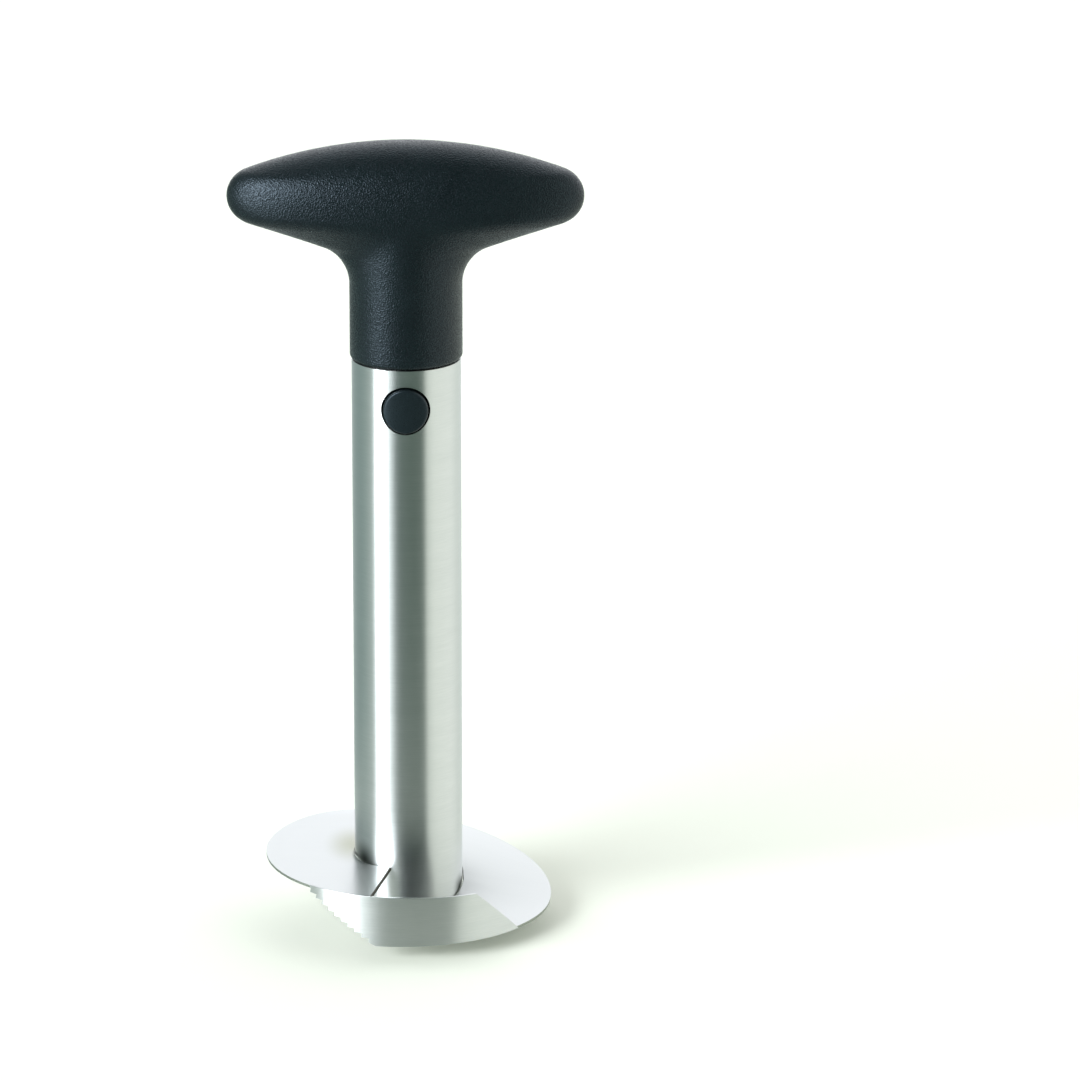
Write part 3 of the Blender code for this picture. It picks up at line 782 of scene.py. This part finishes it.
@dataclass
class SpiralBlade:
    """One turn of brushed sheet round the tube, ground to an edge where it enters the fruit."""

    shape: BladeShape
    steps: int = 360
    rings: int = 16
    grind: float = 3.5 * MM
    edge_share: float = 0.25
    edge_round: float = 0.06 * MM
    slit_reach: float = 0.1 * MM
    hole_reach: float = 0.12 * MM
    slit_shade_width: float = 0.5 * MM  # painted shade darkens the top this far from the slit, widening its dark line
    upright: float = 0.5  # a face counts as upright if its normal rises less than this

    def dress_edges(self, blade: Object, cut: Material, rim: Material) -> None:
        """Gives the sheet's cut end at the slit, its hole's edge and its rim their own finishes. The dark
        finish at the slit, on a strip of the top beside it and at the hole is oxide and painted shade.

        Args:
            blade: the finished sheet.
            cut: the dark finish of oxide and painted shade, for the cut end, the strip beside it and the
                hole's edge.
            rim: the rim's material.
        """
        blade.data.materials.append(cut)
        blade.data.materials.append(rim)
        for face in blade.data.polygons:
            x, y, _ = face.center
            radius = math.hypot(x, y)
            turn = self.shape.slit_bearing(radius) - math.atan2(x, -y)
            upright = abs(face.normal.z) < self.upright
            at_slit = abs(turn) * radius < self.slit_reach and upright
            at_hole = radius < self.shape.inner_radius(turn % math.tau) + self.hole_reach
            slit_shaded = 0 <= turn * radius < self.slit_shade_width and face.normal.z > self.upright
            # The slit's end, the top beside it and the hole's edge take the dark finish: oxide, and painted
            # shade.
            if at_slit or at_hole or slit_shaded:
                face.material_index = 1
            # The rim takes the sheared finish, whose darker colour is a painted reflection.
            elif upright and radius > self.shape.rim_radius - self.edge_round:
                face.material_index = 2

    def build(self, finish: Material, cut: Material, rim: Material) -> None:
        """Models the blade from a flat grid that is wound round the tube.

        Args:
            finish: the blade's material.
            cut: the dark finish of oxide and painted shade, for its cut end at the slit, the strip beside it
                and its hole's edge.
            rim: the material of its rim.
        """
        shape = self.shape
        blade = add_primitive(
            "spiral_blade_sheet", bpy.ops.mesh.primitive_grid_add, x_subdivisions=self.steps,
            y_subdivisions=self.rings, size=2,
        )
        ground = self.grind / shape.rim_radius
        sheet_group = blade.vertex_groups.new(name="sheet")
        for vert in blade.data.vertices:
            column = round((vert.co.x + 1) / 2 * self.steps)
            share = (vert.co.y + 1) / 2
            turn = shape.sweep * column / self.steps
            if column == 1:
                turn = self.slit_shade_width / (shape.hole_radius + (shape.rim_radius - shape.hole_radius) * share)
            hole = shape.inner_radius(turn)
            radius = hole + (shape.rim_radius - hole) * share
            vert.co = around(shape.slit_bearing(radius) - turn, radius, shape.top(turn, share) - shape.sheet)
            to_edge = min((shape.sweep - turn) / ground, 1.0)
            sheet_group.add([vert.index], self.edge_share + (1 - self.edge_share) * to_edge, "REPLACE")
        modify(blade, "SOLIDIFY", thickness=shape.sheet, offset=1, vertex_group="sheet")
        round_edges(blade, self.edge_round)
        finish_piece(blade, "spiral_blade", finish, flat_faces_lead=True)
        self.dress_edges(blade, cut, rim)


@dataclass
class SideCutter:
    """The toothed wall along the blade's rim, from the lower flat up to the upper one."""

    shape: BladeShape
    top_left: float = math.radians(-42.4)
    top_right: float = math.radians(29)
    low_right: float = math.radians(51)
    top_fall: float = 0.5 * MM
    teeth: int = 10
    lean_share: float = 0.12
    underside_share: float = 0.13
    column: float = math.radians(1)
    crest_columns: int = 29  # along the top, on the slit's left
    cover: float = 0.03 * MM  # the wall stands this far outside the sheet's rim, to hide the joint
    edge_round: float = 0.1 * MM

    def outline(self) -> list[Point]:
        """The wall laid flat: teeth, foot, rear end and top.

        Returns:
            The outline's points as (bearing, height).
        """
        shape = self.shape
        slit = shape.slit_bearing(shape.rim_radius)
        lead = slit + math.tau - shape.sweep

        def foot(bearing: float) -> float:
            """Height of the wall's foot, level with the underside of the lower flat."""
            return shape.top(math.tau + slit - bearing) - shape.sheet

        shelf = shape.slit_level - shape.sheet
        run = (lead - self.top_left) / self.teeth
        fall = (shelf - shape.top(math.tau + slit - lead)) / self.teeth
        points = []
        for tooth in range(self.teeth):
            bearing, height = self.top_left + run * tooth, shelf - fall * tooth
            points.append((bearing + run * self.lean_share, height))
            points.append((bearing, height - fall * (1 - self.underside_share)))
        count = round((self.low_right - lead) / self.column)
        bends = [lead + (self.low_right - lead) * bend / count for bend in range(count + 1)]
        points += [(bearing, foot(bearing)) for bearing in bends]
        points += [(self.top_right, shape.slit_level - self.top_fall), (slit, shape.slit_level)]
        crest = [self.column * step for step in range(1, self.crest_columns + 1)]
        return points + [(slit - turn, shape.top(turn)) for turn in crest]

    def build(self, finish: Material) -> None:
        """Models the wall flat, cuts it into columns and bends it round the rim.

        Args:
            finish: the wall's material.
        """
        radius = self.shape.rim_radius + self.cover
        depth = self.shape.sheet + self.cover
        outline = self.outline()
        wall = draw_profile("side_cutter_wall", [(bearing * radius, height) for bearing, height in outline])
        low, high = min(outline)[0], max(outline)[0]
        with editing(wall):
            bpy.ops.mesh.edge_face_add()
            for step in range(1, math.ceil((high - low) / self.column)):
                bpy.ops.mesh.select_all(action="SELECT")
                bpy.ops.mesh.bisect(plane_co=((low + step * self.column) * radius, 0, 0), plane_no=(1, 0, 0))
            bpy.ops.mesh.select_all(action="SELECT")
            bpy.ops.mesh.extrude_region_move(TRANSFORM_OT_translate={"value": (0, depth, 0)})
        tidy_mesh(wall)
        move_points(wall, lambda co: around(co.x / radius, radius - co.y, co.z))
        round_edges(wall, self.edge_round)
        finish_piece(wall, "side_cutter", finish, flat_faces_lead=True)


@dataclass
class WeldBeads:
    """Short rippled fillet welds under the blade, along the tube."""

    shape: BladeShape
    radius: float = 0.6 * MM
    corners: int = 20
    seat: float = 0.55 * MM  # the bead's middle line below the sheet
    sweep: float = math.radians(24)
    steps: int = 60
    ripples: int = 10
    ripple_share: float = 0.1
    tip_width: float = 0.35  # how wide a bead's very tip is, before it is eased
    tip_growth: float = 6.0  # how fast the bead widens from there
    smooth_angle: float = math.radians(60)
    turns: dict[str, float] = field(default_factory=lambda: {
        "weld_bead_left": math.radians(25),
        "weld_bead_back": math.radians(95),
        "weld_bead_front": math.radians(338),
    })

    def build(self, finish: Material) -> None:
        """Models every bead with this finish."""
        for node, turn in self.turns.items():
            self.bead(node, turn, finish)

    def bead(self, node: str, turn: float, finish: Material) -> None:
        """Models one bead by spinning a round section along its stretch of the tube.

        Args:
            node: the CAD node that it stands for.
            turn: the turn at its middle.
            finish: its material.
        """
        shape = self.shape
        ends = (turn - self.sweep / 2, turn + self.sweep / 2)
        level = min(shape.top(end, 0.0) for end in ends) - shape.sheet - self.seat
        path = shape.hole_radius + self.radius / 2
        start = shape.slit_bearing(shape.hole_radius) - ends[0]
        bead = add_primitive(
            f"{node}_rippled", bpy.ops.mesh.primitive_circle_add, vertices=self.corners, radius=self.radius,
            fill_type="NGON", location=(path, 0, level), rotation=(math.pi / 2, 0, 0),
        )
        turn_profile(bead, self.steps, self.sweep)
        low = min(math.atan2(vert.co.y, vert.co.x) for vert in bead.data.vertices)

        def ripple(co: Vector) -> Vector:
            """Swells one point of the bead and turns it to its place.

            Args:
                co: the point.

            Returns:
                Its new place.
            """
            angle = math.atan2(co.y, co.x) - low
            share = angle / self.sweep
            swell = 1 + self.ripple_share * math.cos(share * math.tau * self.ripples)
            swell *= smooth_step(min(share, 1 - share) * self.tip_growth + self.tip_width)
            radius = path + (math.hypot(co.x, co.y) - path) * swell
            return around(start - angle, radius, level + (co.z - level) * swell)

        move_points(bead, ripple)
        tidy_mesh(bead)
        finish_piece(bead, node, finish, angle=self.smooth_angle)


@dataclass
class Grip:
    """The T-shaped grip: a crossbar on a round neck, moulded in two half shells."""

    neck_bottom: float = 172.8 * MM
    neck_radius: float = 16.5 * MM
    neck_edge: float = 1.2 * MM
    neck_length: float = 22.2 * MM
    flare_radius: float = 12 * MM
    length: float = 104 * MM
    height: float = 64.7 * MM
    tip_radius: float = 8.3 * MM
    top_arc_radius: float = 133 * MM
    shoulder: float = 24.5 * MM
    round_power: float = 2.2
    wall: float = 2.6 * MM
    seam: float = 0.04 * MM
    edge_round: float = 0.18 * MM
    keel_power: float = 5.0  # how late a ring widens from the neck's round front to its ends
    keel_bottom: float = 203 * MM
    keel_top: float = 217 * MM
    steps: int = 128
    edge_steps: int = 6
    neck_steps: int = 10
    under_steps: int = 16
    arc_steps: int = 20
    top_arc_steps: int = 48
    smooth_angle: float = math.radians(40)

    @property
    def top(self) -> float:
        """Height of the grip's top."""
        return self.neck_bottom + self.height

    def outline(self) -> list[Point]:
        """Half of the grip's front outline, from the neck's lower edge to the top.

        Returns:
            The points as (half length, height).
        """
        edge_centre = (self.neck_radius - self.neck_edge, self.neck_bottom + self.neck_edge)
        edge = arc(edge_centre, self.neck_edge, -math.pi / 2, 0, self.edge_steps)
        flare_x, flare_z = self.neck_radius + self.flare_radius, self.neck_bottom + self.neck_length
        top_z = self.top - self.top_arc_radius
        tip_x = self.length / 2 - self.tip_radius
        tip_z = top_z + math.sqrt((self.top_arc_radius - self.tip_radius) ** 2 - tip_x**2)
        distance = math.hypot(tip_x - flare_x, tip_z - flare_z)
        slope = math.acos((self.flare_radius + self.tip_radius) / distance)
        underside = math.pi / 2 + slope - math.atan2(tip_x - flare_x, tip_z - flare_z)
        shoulder = math.atan2(tip_z - top_z, tip_x)
        flare = arc((flare_x, flare_z), self.flare_radius, math.pi, underside, self.arc_steps)
        tip = arc((tip_x, tip_z), self.tip_radius, underside - math.pi, shoulder, 2 * self.arc_steps)
        top = arc((0, top_z), self.top_arc_radius, shoulder, math.pi / 2, self.top_arc_steps)
        neck = self.between(edge[-1], flare[0], self.neck_steps)
        under = self.between(flare[-1], tip[0], self.under_steps)
        return edge + neck + flare + under + tip + top[1:-1] + [(0, self.top)]

    def between(self, start: Point, end: Point, steps: int) -> list[Point]:
        """Points along a straight run of so many steps, both ends left out."""
        run, rise = (end[0] - start[0]) / steps, (end[1] - start[1]) / steps
        return [(start[0] + run * step, start[1] + rise * step) for step in range(1, steps)]

    def half_depth(self, height: float) -> float:
        """Half of the grip's depth at this height."""
        share = min(max((height - self.top + self.shoulder) / self.shoulder, 0.0), 1.0)
        return self.neck_radius * (1 - share**self.round_power) ** (1 / self.round_power)

    def narrow(self, co: Vector) -> Sequence[float]:
        """Narrows one turned point to the grip's depth, and keeps the neck's round front up into the bar.

        Args:
            co: the point.

        Returns:
            Its new place.
        """
        radius = math.hypot(co.x, co.y)
        share = min(self.half_depth(co.z) / radius, 1.0) if radius > 0 else 1.0
        x = co.x
        if radius > self.neck_radius and co.z < self.keel_top:
            rise = smooth_step((co.z - self.keel_bottom) / (self.keel_top - self.keel_bottom))
            power = 1 + (self.keel_power - 1) * (1 - rise)
            side_share = abs(co.x) / radius
            wide = self.neck_radius * side_share + (radius - self.neck_radius) * side_share**power
            x = math.copysign(wide, co.x)
        return (x, co.y * share, co.z)

    def shell(self, name: str, side: int, node: str, finish: Material) -> None:
        """Models one half shell.

        Args:
            name: the piece's name.
            side: -1 for the front shell and 1 for the rear one.
            node: the CAD node that it stands for.
            finish: its material.
        """
        shell = draw_profile(name, self.outline())
        turn_profile(shell, self.steps)
        move_points(shell, self.narrow)
        with editing(shell):
            bpy.ops.mesh.bisect(
                plane_co=(0, side * self.seam / 2, 0), plane_no=(0, side, 0), clear_inner=True,
                threshold=WELD_DISTANCE,
            )
        modify(shell, "SOLIDIFY", thickness=self.wall, offset=-1, use_even_offset=True)
        round_edges(shell, self.edge_round)
        finish_piece(shell, node, finish, angle=self.smooth_angle)

    def build(self, finish: Material) -> None:
        """Models both half shells with this finish."""
        self.shell("grip_front_moulding", -1, "grip_front_shell", finish)
        self.shell("grip_rear_moulding", 1, "grip_rear_shell", finish)


@dataclass
class ReleaseButton:
    """The round button that holds the grip on the tube, with its flange and spring pocket."""

    height: float = 160.5 * MM
    radius: float = 6.6 * MM
    face_radius: float = 17.2 * MM
    edge_round: float = 0.6 * MM
    flange_radius: float = 8.6 * MM
    flange_front: float = -8.494 * MM
    flange_thickness: float = 1.6 * MM
    face_thickness: float = 4 * MM
    pocket_radius: float = 4.3 * MM
    steps: int = 128
    face_steps: int = 10
    edge_steps: int = 8

    def profile(self) -> list[Point]:
        """The button's section, from the middle of its face to the bottom of its pocket.

        Returns:
            The points as (radius, depth).
        """
        front, flat = -self.face_radius, self.radius - self.edge_round
        face = [(flat * step / self.face_steps, front) for step in range(self.face_steps)]
        edge = arc((flat, front + self.edge_round), self.edge_round, -math.pi / 2, 0, self.edge_steps)
        shelf, back = self.flange_front, self.flange_front + self.flange_thickness
        floor, rim, pocket = front + self.face_thickness, self.flange_radius, self.pocket_radius
        flange = [(self.radius, shelf), (rim, shelf), (rim, back)]
        return face + edge + flange + [(pocket, back), (pocket, floor), (0, floor)]

    def lay(self, co: Vector) -> Sequence[float]:
        """Tips one point over, and bends it back if it is on the face or its edge.

        Args:
            co: the point.

        Returns:
            Its new place.
        """
        x, y, z = co.x, co.z, -co.y
        if y < -self.face_radius + self.edge_round + WELD_DISTANCE:
            y += self.face_radius - math.sqrt(self.face_radius**2 - x * x)
        return (x, y, z + self.height)

    def build(self, finish: Material) -> None:
        """Models the button as a turned piece laid along Y, its face curved like the tube.

        Args:
            finish: the button's material.
        """
        button = draw_profile("release_button_cap", self.profile())
        turn_profile(button, self.steps)
        move_points(button, self.lay)
        tidy_mesh(button)
        finish_piece(button, "release_button", finish, "button")


@dataclass
class ButtonSpring:
    """The compression spring between the button and the carrier."""

    height: float = 160.5 * MM
    outer_radius: float = 4 * MM
    wire_radius: float = 0.4 * MM
    corners: int = 14
    front: float = -12.5 * MM
    back: float = 0.5 * MM
    curls: int = 7
    steps_per_curl: int = 40

    def build(self, finish: Material) -> None:
        """Models the spring by screwing a round section along its axis.

        Args:
            finish: the spring's material.
        """
        spring = add_primitive(
            "button_spring_coil", bpy.ops.mesh.primitive_circle_add, vertices=self.corners,
            radius=self.wire_radius, fill_type="NOTHING", rotation=(math.pi / 2, 0, 0),
            location=(self.outer_radius - self.wire_radius, 0, 0),
        )
        modify(
            spring, "SCREW", angle=math.tau, steps=self.steps_per_curl, render_steps=self.steps_per_curl,
            iterations=self.curls, screw_offset=(self.back - self.front) / self.curls,
            use_merge_vertices=False,
        )
        with editing(spring, "EDGE"):
            bpy.ops.mesh.select_non_manifold(extend=False)
            bpy.ops.mesh.edge_face_add()
        tidy_mesh(spring)
        move_points(spring, lambda co: (co.x, self.front + co.z, self.height - co.y))
        tidy_mesh(spring)
        make_active(spring)
        bpy.ops.object.shade_smooth_by_angle(angle=SMOOTH_ANGLE)
        spring.data.materials.append(finish)
        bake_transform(spring)
        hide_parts("button_spring")
        log.info("%s: %d faces, stands for button_spring", spring.name, len(spring.data.polygons))


@dataclass
class LatchParts:
    """The plug, the carrier and its screws, whose CAD solids stay and take their finishes."""

    plastic_nodes: tuple[str, ...] = ("latch_plug", "spring_carrier")
    screw_nodes: tuple[str, ...] = ("carrier_screw_left", "carrier_screw_right")

    def dress(self, plastic: Material, wire: Material) -> None:
        """Gives the inner pieces their finishes.

        Args:
            plastic: the finish of the plug and the carrier.
            wire: the finish of the screws.
        """
        for names, finish in ((self.plastic_nodes, plastic), (self.screw_nodes, wire)):
            for name in names:
                node = frame["nodes"][name]
                node.data.materials.clear()
                node.data.materials.append(finish)
                log.info("%s: CAD solid, new finish %s", name, finish.name)


@dataclass
class Studio:
    """The pale floor, the soft light and the camera."""

    floor_width: float = 8.0
    floor_colour: str = "#FCFDF2"
    floor_roughness: float = 0.9
    near_floor: float = 0.10  # metals reflect the floor out to here, and the studio beyond
    far_floor: float = 0.15
    floor_gloss: float = 0.5  # share of the studio that metals see through the near floor
    lamp_place: Place = (-2.00, 0.80, 1.80)
    lamp_aim: Place = (0.0, 0.0, 0.1)
    lamp_size: float = 1.0
    lamp_watts: float = 4.0
    camera_place: Place = (0.0391, -2.300, 0.8145)
    camera_pitch: float = math.radians(73.12)
    lens: float = 272.3
    # Light that reaches the object from each side: azimuth in degrees from the front towards the right,
    # and the light's red, green and blue.
    sides: tuple[tuple[float, Light], ...] = (
        (-180, (0.72, 0.80, 0.78)), (-145, (0.40, 0.50, 0.47)), (-118, (0.33, 0.44, 0.41)),
        (-100, (0.40, 0.52, 0.48)), (-74, (0.68, 0.78, 0.72)), (-34, (0.60, 0.70, 0.65)),
        (-26, (0.24, 0.32, 0.29)), (12, (0.19, 0.26, 0.22)), (37, (0.21, 0.28, 0.24)),
        (44, (0.92, 1.00, 0.90)), (60, (1.18, 1.25, 1.14)), (107, (1.16, 1.22, 1.12)),
        (135, (0.84, 0.92, 0.82)), (180, (0.72, 0.80, 0.78)),
    )
    # The same for the light from above the table's edge: the room is dark at the left and in front.
    upper_sides: tuple[tuple[float, Light], ...] = (
        (-180, (1.60, 1.63, 1.68)), (-158, (1.47, 1.51, 1.56)), (-147, (0.55, 0.60, 0.60)),
        (-138, (0.36, 0.44, 0.43)), (-82, (0.36, 0.45, 0.42)), (-72, (0.55, 0.64, 0.60)),
        (-34, (0.42, 0.50, 0.46)), (-27, (0.04, 0.06, 0.05)), (37, (0.04, 0.06, 0.05)),
        (44, (0.90, 0.98, 0.88)), (60, (1.12, 1.18, 1.08)), (100, (1.30, 1.35, 1.28)),
        (128, (1.56, 1.60, 1.62)), (180, (1.60, 1.63, 1.68)),
    )
    table_edge: Span = (-0.16, 0.02)  # heights on the unit sphere between which the table ends
    sky_edge: Span = (0.6, 0.85)  # and between which the walls turn into the sky
    sky_depth: Span = (-0.2, 0.6)  # the sky brightens between these places from front to back
    sky_front: Colour = (0.08, 0.10, 0.09, 1.0)
    sky_back: Colour = (1.50, 1.54, 1.56, 1.0)
    softbox_sides: tuple[tuple[float, float], ...] = ((-70, 0.0), (-66, 1.0), (-49, 1.0), (-38, 0.0))
    softbox_upper_sides: tuple[tuple[float, float], ...] = (
        (-72, 0.0), (-67, 0.95), (-45, 1.1), (-37, 1.2), (-22, 0.0),
    )
    softbox_step: Span = (0.2, 0.4)  # heights between which the upper sides take over
    softbox_low: Span = (-0.55, 0.35)
    softbox_high: Span = (0.50, 0.64)
    softbox_tint: str = "#F6FBFF"
    softbox_strength: float = 13.5

    def build(self) -> None:
        """Sets up the whole studio."""
        self.add_floor()
        self.light_world()
        self.add_lamp()
        self.add_camera()
        bpy.context.scene.view_settings.view_transform = "Standard"

    def add_floor(self) -> None:
        """Lays the pale floor. A glossy ray passes through it past the near floor, and meets the studio."""
        floor = add_primitive("studio_floor", bpy.ops.mesh.primitive_plane_add, size=self.floor_width)
        material, tree, place = start_material("paper_floor_pale")
        away = add_node(tree, "VectorMath", {0: place}, operation="LENGTH").outputs["Value"]
        near = (self.floor_gloss, self.floor_gloss, self.floor_gloss, 1.0)
        far = fade(tree, away, (self.near_floor, self.far_floor), near, WHITE)
        ray = add_node(tree, "LightPath", {}).outputs["Is Glossy Ray"]
        through = add_node(tree, "Math", {0: far, 1: ray}, operation="MULTIPLY").outputs[0]
        paper = tree.nodes["Principled BSDF"]
        fill(tree, paper, {
            "Base Color": linear(self.floor_colour), "Roughness": self.floor_roughness,
            "Specular IOR Level": 0.0,
        })
        clear = add_node(tree, "BsdfTransparent", {})
        mix = add_node(tree, "MixShader", {
            0: through, 1: paper.outputs["BSDF"], 2: clear.outputs["BSDF"],
        })
        fill(tree, tree.nodes["Material Output"], {"Surface": mix.outputs["Shader"]})
        floor.data.materials.append(material)

    def lights_round(
        self, tree: NodeTree, place: NodeSocket, sides: Sequence[tuple[float, Sequence[float]]]
    ) -> NodeSocket:
        """Light that changes round the studio.

        Args:
            tree: the world's node tree.
            place: the azimuth, from 0 to 1 round the studio.
            sides: each side's azimuth in degrees, and its light's red, green and blue.

        Returns:
            The output that gives the light.
        """
        brightest = max(max(light) for _, light in sides)
        ramp = add_node(tree, "ValToRGB", {"Fac": place}, [
            ((degrees + 180) / 360, (*(channel / brightest for channel in light), 1.0))
            for degrees, light in sides
        ])
        return add_node(
            tree, "VectorMath", {0: ramp.outputs["Color"], "Scale": brightest}, operation="SCALE"
        ).outputs["Vector"]

    def light_world(self) -> None:
        """Lights the studio all round: a tall soft light at the left, a dark gap in front, pale walls."""
        world = bpy.data.worlds.new("soft_studio")
        bpy.context.scene.world = world
        world.use_nodes = True
        tree = world.node_tree
        direction = add_node(tree, "TexCoord", {}).outputs["Generated"]
        across, depth, height = add_node(tree, "SeparateXYZ", {0: direction}).outputs
        toward = add_node(tree, "Math", {0: depth, 1: -1.0}, operation="MULTIPLY").outputs[0]
        azimuth = add_node(tree, "Math", {0: across, 1: toward}, operation="ARCTAN2").outputs[0]
        place = add_node(tree, "MapRange", {
            "Value": azimuth, "From Min": -math.pi, "From Max": math.pi,
        }).outputs["Result"]
        low_walls, high_walls = (
            self.lights_round(tree, place, sides) for sides in (self.sides, self.upper_sides)
        )
        low_box, high_box = (
            self.lights_round(tree, place, [(degrees, (share, share, share)) for degrees, share in stops])
            for stops in (self.softbox_sides, self.softbox_upper_sides)
        )
        walls = fade(tree, height, self.table_edge, low_walls, high_walls)
        sky = fade(tree, depth, self.sky_depth, self.sky_front, self.sky_back)
        room = fade(tree, height, self.sky_edge, walls, sky)
        box = fade(tree, height, self.softbox_step, low_box, high_box)
        box = fade(tree, height, self.softbox_high, box, BLACK)
        box = fade(tree, height, self.softbox_low, BLACK, box)
        strength = [channel * self.softbox_strength for channel in linear(self.softbox_tint)[:3]]
        lit = add_node(tree, "VectorMath", {0: box, 1: strength}, operation="MULTIPLY")
        total = add_node(tree, "VectorMath", {0: room, 1: lit.outputs["Vector"]}, operation="ADD")
        ray = add_node(tree, "LightPath", {}).outputs["Is Camera Ray"]
        seen = add_node(tree, "Mix", {
            SHARE: ray, FIRST: total.outputs["Vector"], SECOND: WHITE,
        }, data_type="RGBA")
        fill(tree, tree.nodes["Background"], {"Color": seen.outputs[MIXED], "Strength": 1.0})

    def add_lamp(self) -> None:
        """Hangs one square soft lamp that points at the object and doesn't show in the metal."""
        lamp = bpy.data.lights.new("key_soft", "AREA")
        lamp.size = self.lamp_size
        lamp.energy = self.lamp_watts
        holder = bpy.data.objects.new("key_soft", lamp)
        bpy.context.scene.collection.objects.link(holder)
        holder.location = self.lamp_place
        aim = Vector(self.lamp_aim) - holder.location
        holder.rotation_euler = aim.to_track_quat("-Z", "Y").to_euler()
        holder.visible_glossy = False

    def add_camera(self) -> None:
        """Sets the camera at the photograph's viewing angle."""
        lens = bpy.data.cameras.new("camera")
        lens.lens = self.lens
        lens.sensor_width = 36
        lens.clip_start = 0.05
        lens.clip_end = 50
        camera = bpy.data.objects.new("camera", lens)
        bpy.context.scene.collection.objects.link(camera)
        camera.location = self.camera_place
        camera.rotation_euler = (self.camera_pitch, 0, 0)
        bpy.context.scene.camera = camera


def main() -> None:
    """Builds the slicer's pieces in order, then the studio."""
    logging.basicConfig(level=logging.INFO, format="%(name)s: %(message)s")
    finishes = Finishes()
    shape = BladeShape()
    CoreTube().build(finishes.tube)
    SpiralBlade(shape).build(finishes.sheet, finishes.oxide_and_shade, finishes.rim)
    SideCutter(shape).build(finishes.tube)
    WeldBeads(shape).build(finishes.weld)
    Grip().build(finishes.grip)
    ReleaseButton().build(finishes.button)
    ButtonSpring().build(finishes.wire)
    LatchParts().dress(finishes.latch, finishes.wire)
    Studio().build()


if __name__ == "__main__":
    main()
